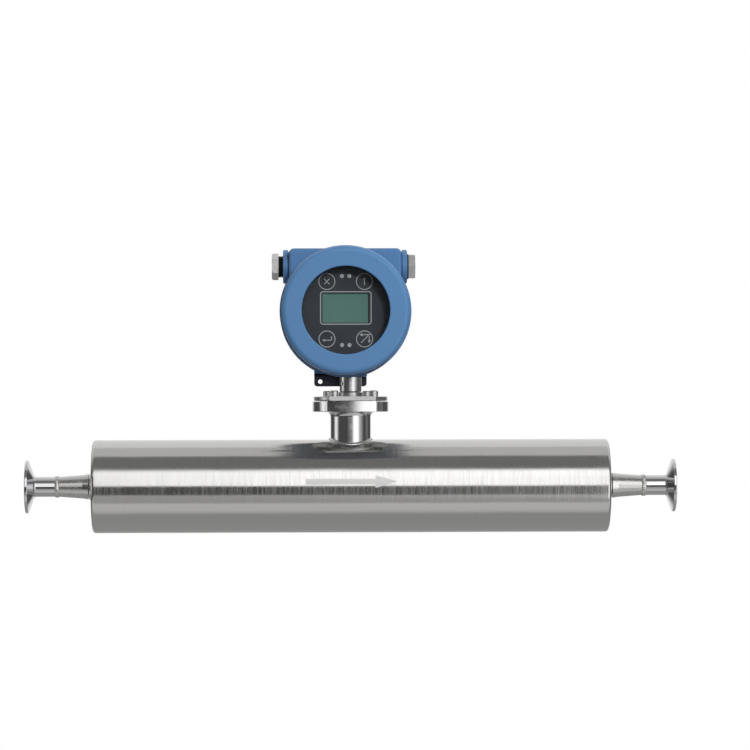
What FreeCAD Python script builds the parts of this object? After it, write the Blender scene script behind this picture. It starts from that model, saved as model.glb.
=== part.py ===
import FreeCAD, Part
import math
import os

from FreeCAD import Vector

# Twin-tube flow meter in millimetres. The origin is the centre of the inlet sealing face,
# +X runs with the flow to the outlet, +Z runs up the neck, and the display looks along -Y.

# Shared small sizes
edge_break = 0.5
overrun = 1.0

# Flow line with its clamp ferrules
face_to_face = 620.0
line_od = 19.0
line_wall = 1.5
ferrule_od = 50.5
ferrule_rim = 2.85
ferrule_rim_edge = 0.8
ferrule_slope = 20.0
ferrule_length = 28.0
ferrule_fillet = 2.0
gasket_groove_diameter = 43.5
gasket_groove_radius = 1.6
bead_width = 4.0
bead_rise = 0.6
reducer_waist_od = 22.4
reducer_od = 24.3
reducer_cove = 5.5

# Case round the flow tubes
case_length = 492.0
case_od = 88.9
case_wall = 2.0
cap_thickness = 5.0
cap_skirt = 10.0
cap_corner = 3.0
cap_inner_corner = 2.0
seam_chamfer = 0.25
weld_root_clearance = 0.1

# Flow splitters and flow tubes
hub_od = 60.0
hub_length = 12.0
splitter_length = 34.0
splitter_corner = 3.0
splitter_wall = 3.0
socket_depth = 8.0
branch_inset = 2.0
flow_tube_od = 12.0
flow_tube_wall = 1.0
flow_tube_spacing = 24.0
tube_lead = 22.0
tube_slope = 6.0
tube_bend_radius = 80.0
tube_crown_radius = 160.0

# Brace plates that tie the two flow tubes together
brace_places = (150.0, 175.0)
brace_thickness = 2.0
brace_margin = 3.0

# Drive and pickoff coils hung under the flow tubes
pickoff_spacing = 90.0
coil_od = 15.0
coil_bore = 9.0
coil_length = 9.0
coil_flange = 1.2
winding_depth = 1.0
magnet_od = 7.0
magnet_length = 14.0
coil_drop = 15.0
saddle_width = 12.0
saddle_reach = 5.0
saddle_inner_face = 10.0
saddle_foot = 2.0
saddle_corner = 1.5

# Temperature sensor strapped to the front flow tube
sensor_place = 200.0
sensor_length = 12.0
sensor_width = 6.0
sensor_height = 4.0
sensor_corner = 2.0

# Neck, its flange and the plate that carries the head
neck_od = 38.8
neck_wall = 2.0
neck_weld_leg = 2.2
neck_cove = 5.0
flange_underside = 70.8
flange_thickness = 10.1
flange_od = 73.0
flange_edge = 0.6
flats_apart = 54.8
flats_turn = 3.2
seal_recess_depth = 5.0
seal_recess_step = 2.6
gasket_thickness = 0.5
gasket_width = 4.0
plate_thickness = 4.0
plate_od = 70.6
plate_recess_depth = 2.6
plate_recess_margin = 2.5
collar_od = 22.5
collar_height = 4.4
spigot_od = 14.0
spigot_end_gap = 1.1
spigot_bore = 8.0

# Flange screws, socket head size 5
bolt_circle = 54.0
bolt_turn = 9.0
screw_diameter = 5.0
screw_head_od = 8.5
screw_head_height = 5.0
screw_length = 12.0
screw_socket = 4.0
screw_socket_depth = 2.5
screw_hole_clearance = 0.25
thread_clearance = 0.05
washer_od = 9.0
washer_thickness = 0.6

# Glass-sealed pins in the neck flange
pin_count = 8
pin_circle = 20.0
pin_diameter = 1.2
pin_drop = 4.0
pin_rise = 2.0

# Stem that turns on the spigot
stem_od = 21.0
stem_length = 14.4
stem_gap = 0.2
stem_running_clearance = 0.05
stem_thread_od = 18.0
stem_thread_length = 13.5
stem_top_wall = 2.5
set_screw_rise = 7.6
set_screw_angle = -140.5
set_screw_diameter = 5.0
set_screw_recess = 0.6
set_screw_socket = 2.5
set_groove_depth = 1.5
set_groove_clearance = 0.3

# Head: a cast housing with a compartment at each end
head_offset = -5.0
housing_od = 116.0
housing_bore = 98.0
rim_od = 124.8
rim_thickness = 6.0
rim_face = 40.0
rim_edge = 0.8
rim_cove = 3.0
thread_od = 108.0
thread_length = 10.0
thread_chamfer = 1.0
bulkhead_front = -16.0
bulkhead_thickness = 4.0

# Top block with the two cable entries
block_width = 107.0
block_top = 60.4
block_bottom = 26.0
block_depth = 42.0
block_corner = 5.0
block_edge = 2.5
conduit_rise = 43.6
conduit_collar_od = 32.3
conduit_collar_width = 4.9
conduit_collar_edge = 0.8
conduit_groove_od = 29.0
conduit_groove_width = 0.8
conduit_bore = 18.5

# Boss and pad under the housing
boss_od = 32.0
boss_reach = 3.6
boss_edge = 1.0
pad_reach = 0.4
pad_length = 15.0
pad_lead = 1.0

# Folded bracket on the pad, behind the stem
bracket_left = -34.6
bracket_right = 15.7
bracket_drop = 12.2
bracket_boss_gap = 0.6
bracket_thickness = 2.0
bracket_leg = 14.0
bracket_corner = 3.0
bracket_bend = 3.0
tag_hole_diameter = 4.2
tag_hole_inset = 5.8
tag_hole_rise = 4.6
bracket_screw_places = (-24.0, 6.0)
bracket_screw_diameter = 4.0
bracket_screw_head_od = 7.5
bracket_screw_head_height = 2.4
bracket_screw_length = 8.0

# Screwed covers
cover_od = 121.8
cover_gap = 0.4
cover_edge = 5.0
front_cover_length = 26.6
rear_cover_length = 21.6
cover_thread_clearance = 0.3
cover_spigot_gap = 0.5
window_opening = 83.0
window_lip = 4.0
window_edge = 1.0
window_pocket = 94.2
pocket_clearance = 0.5
window_gasket_width = 4.0
window_gasket_thickness = 1.0
glass_thickness = 6.5
retainer_thickness = 4.5
retainer_clearance = 0.1
retainer_bore = 84.0
retainer_slot_width = 4.0
retainer_slot_depth = 1.5
rear_wall = 5.0
rear_hollow = 94.0
rear_recess_od = 88.0
rear_recess_depth = 1.2
rear_recess_edge = 1.0
rear_inner_corner = 3.0

# Cover seals in grooves at the foot of each thread
seal_groove_width = 2.8
seal_groove_depth = 1.6
seal_clearance = 0.2
seal_roundness = 0.45

# Plugs in the cable entries
plug_across_flats = 22.0
plug_head_height = 6.4
plug_head_chamfer = 1.2
plug_shank_length = 14.0
plug_shank_clearance = 0.05
plug_tip_chamfer = 1.0
left_seal_width = 4.3
left_seal_od = 21.3
left_seal_ribs = 3
left_seal_rib_depth = 1.1
right_seal_width = 1.4
right_seal_od = 24.0

# Display stack, front to back
panel_front = -49.5
panel_thickness = 1.5
panel_od = 93.0
panel_skirt = 8.0
panel_skirt_wall = 1.4
screen_width = 44.4
screen_height = 27.8
screen_rise = 2.3
screen_corner = 0.8
lcd_border = 3.0
lcd_thickness = 4.5
board_thickness = 1.6
board_od = 88.0
lamp_diameter = 3.8
lamp_places = ((-3.5, 32.5), (3.5, 32.5), (-3.5, -32.5), (3.5, -32.5))
display_gap = 10.9
standoff_diameter = 5.0
standoff_circle = 76.0
standoff_turn = 45.0

# Main board parts: x, z, width, height, depth, seen from the front
main_board_parts = (
    (0.0, 6.0, 14.0, 14.0, 1.6),
    (-20.0, -8.0, 10.0, 8.0, 2.0),
    (18.0, -10.0, 12.0, 7.0, 2.2),
    (0.0, -22.0, 22.0, 6.0, 6.0),
    (22.0, 14.0, 7.0, 7.0, 5.0),
)

# Sealed passage through the bulkhead
passage_diameter = 12.0
passage_x = 0.0
passage_z = 28.0
passage_lip = 2.0
passage_lip_od = 16.0

# Power module and terminals in the rear compartment
module_width = 56.0
module_height = 34.0
module_depth = 19.0
module_centre_z = -20.0
module_corner = 3.0
terminal_board_face = 14.0
terminal_board_gap = 2.0
terminal_board_top = 9.0
terminal_board_bottom = -36.0
terminal_post_reach = 33.0
terminal_post_heights = (4.0, -26.0)
terminal_ways = 8
terminal_pitch = 7.5
terminal_height = 12.0
terminal_depth = 11.0
terminal_centre_z = -10.0
terminal_funnel = 3.4
terminal_funnel_depth = 6.0
terminal_screw_diameter = 4.0
terminal_screw_sink = 1.0
terminal_screw_length = 5.0
terminal_slot_width = 0.8
earth_x = 26.0
earth_z = 24.0
earth_boss_od = 10.0
earth_boss_height = 8.0
earth_hole_floor = 2.0
earth_screw_head_od = 8.0
earth_screw_head_height = 3.0
earth_washer = 9.0
earth_washer_thickness = 1.0

# Values worked out from those above
X = Vector(1, 0, 0)
Y = Vector(0, 1, 0)
Z = Vector(0, 0, 1)
middle = face_to_face / 2
case_start = (face_to_face - case_length) / 2
case_radius = case_od / 2
line_bore = line_od - 2 * line_wall
splitter_start = case_start + cap_thickness
splitter_end = splitter_start + splitter_length
tube_start = splitter_end - socket_depth
tube_offset = flow_tube_spacing / 2
flange_top = flange_underside + flange_thickness
plate_bottom = flange_top + gasket_thickness
plate_top = plate_bottom + plate_thickness
collar_top = plate_top + collar_height
stem_bottom = collar_top + stem_gap
set_screw_height = stem_bottom + set_screw_rise
boss_bottom = stem_bottom + stem_length
stem_top = boss_bottom + stem_thread_length
spigot_top = stem_top - stem_top_wall - spigot_end_gap
barrel_bottom = boss_bottom + boss_reach
head_height = barrel_bottom + housing_od / 2
pad_bottom = barrel_bottom - pad_reach
bracket_bottom = pad_bottom - bracket_drop
bracket_front = boss_od / 2 + bracket_boss_gap
pad_front = bracket_front - pad_lead
pad_back = pad_front + pad_length
head_x = middle + head_offset
conduit_z = head_height + conduit_rise
conduit_end = block_width / 2 + conduit_groove_width + conduit_collar_width
thread_end = rim_face + thread_length
seal_groove_od = thread_od - 2 * seal_groove_depth
cover_start = rim_face + cover_gap
cover_inside = thread_end + cover_spigot_gap
front_face = cover_start + front_cover_length
rear_face = cover_start + rear_cover_length
window_back = front_face - window_lip
glass_front = window_back - window_gasket_thickness
glass_back = glass_front - glass_thickness
bulkhead_back = bulkhead_front + bulkhead_thickness
panel_back = panel_front + panel_thickness
display_board_front = panel_back + lcd_thickness
display_board_back = display_board_front + board_thickness
main_board_front = display_board_back + display_gap
main_board_back = main_board_front + board_thickness
lcd_width = screen_width + 2 * lcd_border
lcd_height = screen_height + 2 * lcd_border

# Axes as origin, direction and radial direction
line_axis = (Vector(0, 0, 0), X, Z)
neck_axis = (Vector(middle, 0, 0), Z, X)
head_axis = (Vector(head_x, 0, head_height), Y, Z)
conduit_centre = Vector(head_x, 0, conduit_z)

nodes = {}


def flat_wire(corners, origin, across, up):
    """Closed wire through corners (u, v, r): r rounds the corner, and a negative r chamfers it."""
    count = len(corners)
    points = [origin + across * c[0] + up * c[1] for c in corners]
    stops = []
    for i in range(count):
        size = corners[i][2] if len(corners[i]) > 2 else 0.0
        here = points[i]
        back = (points[i - 1] - here).normalize()
        ahead = (points[(i + 1) % count] - here).normalize()
        if size == 0.0:
            stops.append((here, None, here))
        elif size < 0.0:
            stops.append((here - back * size, None, here - ahead * size))
        else:
            half = back.getAngle(ahead) / 2
            bisector = (back + ahead).normalize()
            reach = size / math.tan(half)
            middle_point = here + bisector * (size / math.sin(half) - size)
            stops.append((here + back * reach, middle_point, here + ahead * reach))
    edges = []
    for i in range(count):
        start, through, end = stops[i]
        if through is not None:
            edges.append(Part.Arc(start, through, end).toShape())
        elif start.distanceToPoint(end) > 1e-6:
            edges.append(Part.makeLine(start, end))
        following = stops[(i + 1) % count][0]
        if end.distanceToPoint(following) > 1e-6:
            edges.append(Part.makeLine(end, following))
    return Part.Wire(edges)


def turned(corners, axis):
    """Solid turned about an axis from corners given as (along, radius, corner size)."""
    origin, along, radial = axis
    return Part.Face(flat_wire(corners, origin, along, radial)).revolve(origin, along, 360)


def ring(axis, start, end, inner, outer):
    """Plain ring with square edges."""
    return turned([(start, inner), (start, outer), (end, outer), (end, inner)], axis)


def slab(corners, origin, across, up, depth):
    """Flat outline pushed along the vector depth."""
    return Part.Face(flat_wire(corners, origin, across, up)).extrude(depth)


def block(x0, x1, y0, y1, z0, z1, corner=0.0):
    """Box between two corners whose outline in X and Z has rounded corners."""
    outline = [(x0, z0, corner), (x1, z0, corner), (x1, z1, corner), (x0, z1, corner)]
    return slab(outline, Vector(0, y0, 0), X, Z, Y * (y1 - y0))


def rod(base, direction, diameter, length):
    return Part.makeCylinder(diameter / 2, length, base, direction)


def hexagon(base, direction, across_flats, depth, first_corner):
    """Six-sided prism on base, with one corner towards first_corner."""
    side = direction.cross(first_corner)
    radius = across_flats / math.sqrt(3)
    corners = []
    for k in range(6):
        angle = math.radians(60 * k)
        corners.append((radius * math.cos(angle), radius * math.sin(angle)))
    return slab(corners, base, first_corner, side, direction * depth)


def outlet_copy(shape):
    """The outlet end is the inlet end mirrored about the middle of the meter."""
    return shape.mirror(Vector(middle, 0, 0), X)


def on_circle(diameter, angle, z):
    turn = math.radians(angle)
    return Vector(middle + diameter / 2 * math.cos(turn), diameter / 2 * math.sin(turn), z)


def in_head(x, y, z):
    """Point given from the centre of the head."""
    return Vector(head_x + x, y, head_height + z)


# Flow line


def ferrule():
    outer = ferrule_od / 2
    tube = line_od / 2
    foot = ferrule_rim + (outer - tube) * math.tan(math.radians(ferrule_slope))
    corners = [
        (0, line_bore / 2),
        (0, outer, ferrule_rim_edge),
        (ferrule_rim, outer, ferrule_rim_edge),
        (foot, tube, ferrule_fillet),
        (ferrule_length, tube),
        (ferrule_length, line_bore / 2),
    ]
    groove = Part.makeTorus(gasket_groove_diameter / 2, gasket_groove_radius, Vector(0, 0, 0), X)
    return turned(corners, line_axis).cut(groove)


def weld_bead(start, diameter, bore):
    """Butt weld bead with a low crown."""
    origin, along, radial = line_axis
    radius = diameter / 2
    left = origin + along * start + radial * radius
    crown = origin + along * (start + bead_width / 2) + radial * (radius + bead_rise)
    right = origin + along * (start + bead_width) + radial * radius
    low_left = origin + along * start + radial * (bore / 2)
    low_right = origin + along * (start + bead_width) + radial * (bore / 2)
    edges = [
        Part.makeLine(low_left, left),
        Part.Arc(left, crown, right).toShape(),
        Part.makeLine(right, low_right),
        Part.makeLine(low_right, low_left),
    ]
    return Part.Face(Part.Wire(edges)).revolve(origin, along, 360)


reducer_start = ferrule_length + bead_width
reducer_end = case_start - bead_width


def reducer():
    """Turned adapter that grows from the line to the splitter spigot, with a cove at its foot."""
    corners = [
        (reducer_start, line_bore / 2),
        (reducer_start, line_od / 2),
        (reducer_end - reducer_cove, reducer_waist_od / 2, reducer_cove * 2),
        (reducer_end, reducer_od / 2),
        (reducer_end, line_bore / 2),
    ]
    return turned(corners, line_axis)


# Case


def case_tube():
    start = case_start + cap_skirt
    end = face_to_face - start
    corners = [
        (start, case_radius - case_wall),
        (start, case_radius, -seam_chamfer),
        (end, case_radius, -seam_chamfer),
        (end, case_radius - case_wall),
    ]
    wire_hole = rod(Vector(middle, 0, 0), Z, neck_od - 2 * neck_wall, case_od)
    return turned(corners, line_axis).cut(wire_hole)


def end_cap():
    inner = case_radius - case_wall
    hole = reducer_od / 2 + weld_root_clearance
    corners = [
        (case_start, hole),
        (case_start, case_radius, cap_corner),
        (case_start + cap_skirt, case_radius, -seam_chamfer),
        (case_start + cap_skirt, inner),
        (case_start + cap_thickness, inner, cap_inner_corner),
        (case_start + cap_thickness, hole),
    ]
    return turned(corners, line_axis)


# Flow splitters and tubes


def tube_bends():
    """Ends of the lower bend and of the crown bend of a flow tube, as (x, z), and its top height."""
    slope = math.radians(tube_slope)
    lead_end = tube_start + socket_depth + tube_lead
    low_x = lead_end + tube_bend_radius * math.sin(slope)
    low_z = tube_bend_radius * (1 - math.cos(slope))
    high_x = middle - tube_crown_radius * math.sin(slope)
    high_z = low_z + (high_x - low_x) * math.tan(slope)
    top = high_z + tube_crown_radius * (1 - math.cos(slope))
    return lead_end, (low_x, low_z), (high_x, high_z), top


def tube_height(x):
    """Height of the flow tubes' axis, on the straight slope or at the middle."""
    _, low, high, top = tube_bends()
    near = min(x, face_to_face - x)
    if near > high[0]:
        rest = middle - near
        return top - tube_crown_radius + math.sqrt(tube_crown_radius ** 2 - rest ** 2)
    return low[1] + (near - low[0]) * math.tan(math.radians(tube_slope))


def tube_path(y):
    """Shallow bow: level, up, over the crown, down and level again."""
    lead_end, low, high, top = tube_bends()
    slope = math.radians(tube_slope)
    half = slope / 2
    bend_x = lead_end + tube_bend_radius * math.sin(half)
    bend_z = tube_bend_radius * (1 - math.cos(half))

    def at(x, z):
        return Vector(x, y, z)

    def far(x, z):
        return Vector(face_to_face - x, y, z)

    edges = [
        Part.makeLine(at(tube_start, 0), at(lead_end, 0)),
        Part.Arc(at(lead_end, 0), at(bend_x, bend_z), at(*low)).toShape(),
        Part.makeLine(at(*low), at(*high)),
        Part.Arc(at(*high), at(middle, top), far(*high)).toShape(),
        Part.makeLine(far(*high), far(*low)),
        Part.Arc(far(*low), far(bend_x, bend_z), far(lead_end, 0)).toShape(),
        Part.makeLine(far(lead_end, 0), far(tube_start, 0)),
    ]
    return Part.Wire(edges)


def swept_tube(y, diameter):
    section = Part.Wire(Part.makeCircle(diameter / 2, Vector(tube_start, y, 0), X))
    return tube_path(y).makePipeShell([section], True, True)


def flow_tube(y):
    return swept_tube(y, flow_tube_od).cut(swept_tube(y, flow_tube_od - 2 * flow_tube_wall))


def splitter():
    """Casting that divides the line bore into the two flow tubes."""
    hub_end = splitter_start + hub_length
    corners = [
        (case_start, 0),
        (case_start, reducer_od / 2),
        (splitter_start, reducer_od / 2),
        (splitter_start, hub_od / 2),
        (hub_end, hub_od / 2, splitter_corner),
        (hub_end, 0),
    ]
    hub = turned(corners, line_axis)
    high = flow_tube_od / 2 + splitter_wall
    wide = tube_offset + high
    outline = [(-wide, -high, high), (wide, -high, high), (wide, high, high), (-wide, high, high)]
    nose = slab(outline, Vector(splitter_start, 0, 0), Y, Z, X * splitter_length)
    body = hub.fuse(nose)
    branch_start = splitter_start + branch_inset
    body = body.cut(rod(Vector(case_start, 0, 0), X, line_bore, branch_start - case_start))
    for side in (-1, 1):
        mouth = Part.Wire(Part.makeCircle(line_bore / 2, Vector(branch_start, 0, 0), X))
        branch_bore = flow_tube_od / 2 - flow_tube_wall
        throat = Part.Wire(Part.makeCircle(branch_bore, Vector(tube_start, side * tube_offset, 0), X))
        body = body.cut(Part.makeLoft([mouth, throat], True))
        body = body.cut(rod(Vector(tube_start, side * tube_offset, 0), X, flow_tube_od, socket_depth))
    return body.removeSplitter()


def brace_plates():
    plates = []
    reach = flow_tube_od / 2 + brace_margin
    wide = tube_offset + reach
    tubes = swept_tube(-tube_offset, flow_tube_od).fuse(swept_tube(tube_offset, flow_tube_od))
    for x in brace_places:
        z = tube_height(x)
        outline = [
            (-wide, z - reach, reach),
            (wide, z - reach, reach),
            (wide, z + reach, reach),
            (-wide, z + reach, reach),
        ]
        plate = slab(outline, Vector(x - brace_thickness / 2, 0, 0), Y, Z, X * brace_thickness)
        plates.append(plate.cut(tubes))
    return plates


# Coils and magnets

stations = {
    "inlet_pickoff": middle - pickoff_spacing,
    "drive": middle,
    "outlet_pickoff": middle + pickoff_spacing,
}


def saddle(x, side):
    """Bracket brazed under a flow tube, with a face towards the other tube."""
    z = tube_height(x)
    coil_z = z - coil_drop
    outer = tube_offset + saddle_reach
    low = coil_z - coil_od / 2
    outline = [
        (side * saddle_inner_face, low, saddle_corner),
        (side * outer, low, saddle_corner),
        (side * outer, z - saddle_foot),
        (side * saddle_inner_face, z - saddle_foot),
    ]
    plate = slab(outline, Vector(x - saddle_width / 2, 0, 0), Y, Z, X * saddle_width)
    return plate.cut(swept_tube(side * tube_offset, flow_tube_od))


def coil(x):
    """Bobbin with its winding, potted as one piece, on the rear saddle's face."""
    centre = Vector(x, 0, tube_height(x) - coil_drop)
    start = saddle_inner_face - coil_length
    wound = coil_od / 2 - winding_depth
    corners = [
        (start, coil_bore / 2),
        (start, coil_od / 2),
        (start + coil_flange, coil_od / 2),
        (start + coil_flange, wound),
        (saddle_inner_face - coil_flange, wound),
        (saddle_inner_face - coil_flange, coil_od / 2),
        (saddle_inner_face, coil_od / 2),
        (saddle_inner_face, coil_bore / 2),
    ]
    return turned(corners, (centre, Y, Z))


def magnet(x):
    """Magnet on the front saddle's face, reaching into the coil's bore."""
    centre = Vector(x, 0, tube_height(x) - coil_drop)
    end = magnet_length - saddle_inner_face
    corners = [
        (-saddle_inner_face, 0),
        (-saddle_inner_face, magnet_od / 2),
        (end, magnet_od / 2, -edge_break),
        (end, 0),
    ]
    return turned(corners, (centre, Y, Z))


def temperature_sensor():
    z = tube_height(sensor_place) + flow_tube_od / 2
    low = z - flow_tube_od / 4
    half = sensor_width / 2
    outline = [
        (-tube_offset - half, low),
        (-tube_offset + half, low),
        (-tube_offset + half, z + sensor_height, sensor_corner),
        (-tube_offset - half, z + sensor_height, sensor_corner),
    ]
    start = sensor_place - sensor_length / 2
    body = slab(outline, Vector(start, 0, 0), Y, Z, X * sensor_length)
    return body.cut(swept_tube(-tube_offset, flow_tube_od))


# Neck and head carrier


def neck_flange():
    """Neck and flange turned in one, with the foot cut to sit on the round case."""
    bore = neck_od / 2 - neck_wall
    recess = bore + seal_recess_step
    foot = math.sqrt(case_radius ** 2 - (neck_od / 2) ** 2) - overrun
    corners = [
        (foot, bore),
        (foot, neck_od / 2),
        (flange_underside, neck_od / 2, neck_cove),
        (flange_underside, flange_od / 2, -flange_edge),
        (flange_top, flange_od / 2, -flange_edge),
        (flange_top, recess),
        (flange_top - seal_recess_depth, recess),
        (flange_top - seal_recess_depth, bore),
    ]
    body = turned(corners, neck_axis)
    body = body.cut(rod(Vector(0, 0, 0), X, case_od, face_to_face))
    body = with_flats(body)
    for angle in bolt_angles():
        hole_top = on_circle(bolt_circle, angle, flange_top)
        body = body.cut(rod(hole_top, -Z, screw_diameter, flange_thickness))
    return body


def with_flats(body):
    """Trims two flats off a flange, front and back."""
    size = flange_od * 2
    keep = Part.makeBox(size, flats_apart, size, Vector(middle - size / 2, -flats_apart / 2, 0))
    keep.rotate(Vector(middle, 0, 0), Z, flats_turn)
    return body.common(keep)


def bolt_angles():
    return [45 + 90 * k + bolt_turn for k in range(4)]


def neck_weld():
    """Fillet weld round the foot of the neck: what a fillet adds between the two cylinders."""
    case_rod = rod(Vector(middle - neck_od, 0, 0), X, case_od, neck_od * 2)
    neck_rod = rod(Vector(middle, 0, 0), Z, neck_od, flange_underside)
    joined = case_rod.fuse(neck_rod)
    seam = []
    for edge in joined.Edges:
        point = edge.valueAt((edge.FirstParameter + edge.LastParameter) / 2)
        from_neck = math.hypot(point.x - middle, point.y)
        from_line = math.hypot(point.y, point.z)
        if abs(from_neck - neck_od / 2) < 1e-3 and abs(from_line - case_radius) < 1e-3:
            seam.append(edge)
    return joined.makeFillet(neck_weld_leg, seam).cut(joined)


def feedthrough():
    """Sealing disc in the flange's recess with its glass-sealed pins."""
    recess = neck_od / 2 - neck_wall + seal_recess_step
    low = flange_top - seal_recess_depth
    body = ring(neck_axis, low, flange_top, 0.0, recess)
    for k in range(pin_count):
        foot = on_circle(pin_circle, 360 * k / pin_count, low - pin_drop)
        body = body.fuse(rod(foot, Z, pin_diameter, pin_drop + seal_recess_depth + pin_rise))
    return body


def flange_gasket():
    inner = neck_od / 2 - neck_wall
    return ring(neck_axis, flange_top, plate_bottom, inner, inner + seal_recess_step + gasket_width)


def adapter_plate():
    """Plate with the collar and the turned spigot that carries the head."""
    groove_radius = spigot_od / 2 - set_groove_depth
    groove_half = set_screw_diameter / 2 + set_groove_clearance
    recess = pin_circle / 2 + plate_recess_margin
    corners = [
        (plate_bottom + plate_recess_depth, spigot_bore / 2),
        (plate_bottom + plate_recess_depth, recess),
        (plate_bottom, recess),
        (plate_bottom, plate_od / 2, -flange_edge),
        (plate_top, plate_od / 2, -flange_edge),
        (plate_top, collar_od / 2),
        (collar_top, collar_od / 2, -flange_edge),
        (collar_top, spigot_od / 2),
        (set_screw_height - groove_half, spigot_od / 2),
        (set_screw_height - groove_half, groove_radius),
        (set_screw_height + groove_half, groove_radius),
        (set_screw_height + groove_half, spigot_od / 2),
        (spigot_top, spigot_od / 2, -flange_edge),
        (spigot_top, spigot_bore / 2),
    ]
    body = with_flats(turned(corners, neck_axis))
    for angle in bolt_angles():
        hole = on_circle(bolt_circle, angle, plate_bottom)
        body = body.cut(rod(hole, Z, screw_diameter + 2 * screw_hole_clearance, plate_thickness))
    return body


def socket_screw(seat, direction, head_od, head_height, diameter, length, socket, sink):
    """Cap screw: seat is the point under the head, direction points out of the head."""
    side = X if abs(direction.x) < 0.5 else Z
    head_corners = [
        (-length, 0),
        (-length, diameter / 2 - thread_clearance, -edge_break),
        (0, diameter / 2 - thread_clearance),
        (0, head_od / 2),
        (head_height, head_od / 2, -edge_break),
        (head_height, 0),
    ]
    body = turned(head_corners, (seat, direction, side))
    return body.cut(hexagon(seat + direction * (head_height - sink), direction, socket, sink, side))


def flange_screws():
    seat_z = plate_top + washer_thickness
    head = (screw_head_od, screw_head_height)
    shank = (screw_diameter, screw_length)
    socket = (screw_socket, screw_socket_depth)
    screws = []
    for angle in bolt_angles():
        seat = on_circle(bolt_circle, angle, seat_z)
        screws.append(socket_screw(seat, Z, *head, *shank, *socket))
    return screws


def flange_washers():
    washers = []
    for angle in bolt_angles():
        axis = (on_circle(bolt_circle, angle, plate_top), Z, X)
        inner = screw_diameter / 2 + screw_hole_clearance
        washers.append(ring(axis, 0, washer_thickness, inner, washer_od / 2))
    return washers


def set_screw_direction():
    turn = math.radians(set_screw_angle)
    return Vector(math.cos(turn), math.sin(turn), 0)


def stem():
    """Sleeve that turns on the spigot, threaded into the housing's boss at its top."""
    bore = spigot_od / 2 + stem_running_clearance
    thread = stem_thread_od / 2 - thread_clearance
    corners = [
        (stem_bottom, bore),
        (stem_bottom, stem_od / 2, -edge_break),
        (boss_bottom, stem_od / 2, -edge_break),
        (boss_bottom, thread),
        (stem_top, thread, -edge_break),
        (stem_top, spigot_bore / 2),
        (stem_top - stem_top_wall, spigot_bore / 2),
        (stem_top - stem_top_wall, bore),
    ]
    centre = Vector(middle, 0, set_screw_height)
    hole = rod(centre, set_screw_direction(), set_screw_diameter, stem_od)
    return turned(corners, neck_axis).cut(hole)


def stem_set_screw():
    """Headless screw whose tip runs in the spigot's groove."""
    direction = set_screw_direction()
    centre = Vector(middle, 0, set_screw_height)
    inner = spigot_od / 2 - set_groove_depth + set_groove_clearance
    outer = stem_od / 2 - set_screw_recess
    corners = [
        (inner, 0),
        (inner, set_screw_diameter / 2 - thread_clearance, -edge_break),
        (outer, set_screw_diameter / 2 - thread_clearance),
        (outer, 0),
    ]
    body = turned(corners, (centre, direction, Z))
    depth = (outer - inner) / 2
    return body.cut(hexagon(centre + direction * (outer - depth), direction, set_screw_socket, depth, Z))


# Housing


def housing_barrel():
    """Turned outer form: barrel, two rims and the two thread spigots with their seal grooves."""
    half = [
        (rim_face - rim_thickness, housing_od / 2, rim_cove),
        (rim_face - rim_thickness, rim_od / 2, rim_edge),
        (rim_face, rim_od / 2, rim_edge),
        (rim_face, seal_groove_od / 2),
        (rim_face + seal_groove_width, seal_groove_od / 2),
        (rim_face + seal_groove_width, thread_od / 2),
        (thread_end, thread_od / 2, -thread_chamfer),
        (thread_end, 0),
    ]
    front = [(-corner[0], *corner[1:]) for corner in reversed(half)]
    return turned(front + half, head_axis)


def top_block():
    half = block_width / 2
    body = block(
        head_x - half,
        head_x + half,
        -block_depth / 2,
        block_depth / 2,
        head_height + block_bottom,
        head_height + block_top,
        block_corner,
    )
    rims = [e for e in body.Edges if abs(abs(e.CenterOfMass.y) - block_depth / 2) < 1e-3]
    return body.makeFillet(block_edge, rims)


def conduit_boss(direction):
    """Round collar at a cable entry, set off from the block by a groove."""
    face = block_width / 2
    groove_end = face + conduit_groove_width
    corners = [
        (face - block_edge, 0),
        (face - block_edge, conduit_groove_od / 2),
        (groove_end, conduit_groove_od / 2),
        (groove_end, conduit_collar_od / 2, -conduit_collar_edge / 2),
        (conduit_end, conduit_collar_od / 2, -conduit_collar_edge),
        (conduit_end, 0),
    ]
    return turned(corners, (conduit_centre, direction, Z))


def stem_boss():
    inside = head_height - housing_bore / 2 - overrun
    corners = [
        (boss_bottom, 0),
        (boss_bottom, boss_od / 2, -boss_edge),
        (inside, boss_od / 2),
        (inside, 0),
    ]
    return turned(corners, neck_axis)


def bracket_pad():
    """Flat pad cast under the barrel where the folded bracket is screwed on."""
    left = middle + bracket_left
    right = middle + bracket_right
    far = max(abs(left - head_x), abs(right - head_x))
    top = head_height - math.sqrt((housing_od / 2) ** 2 - far ** 2) + overrun
    return block(left, right, pad_front, pad_back, pad_bottom, top)


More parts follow.
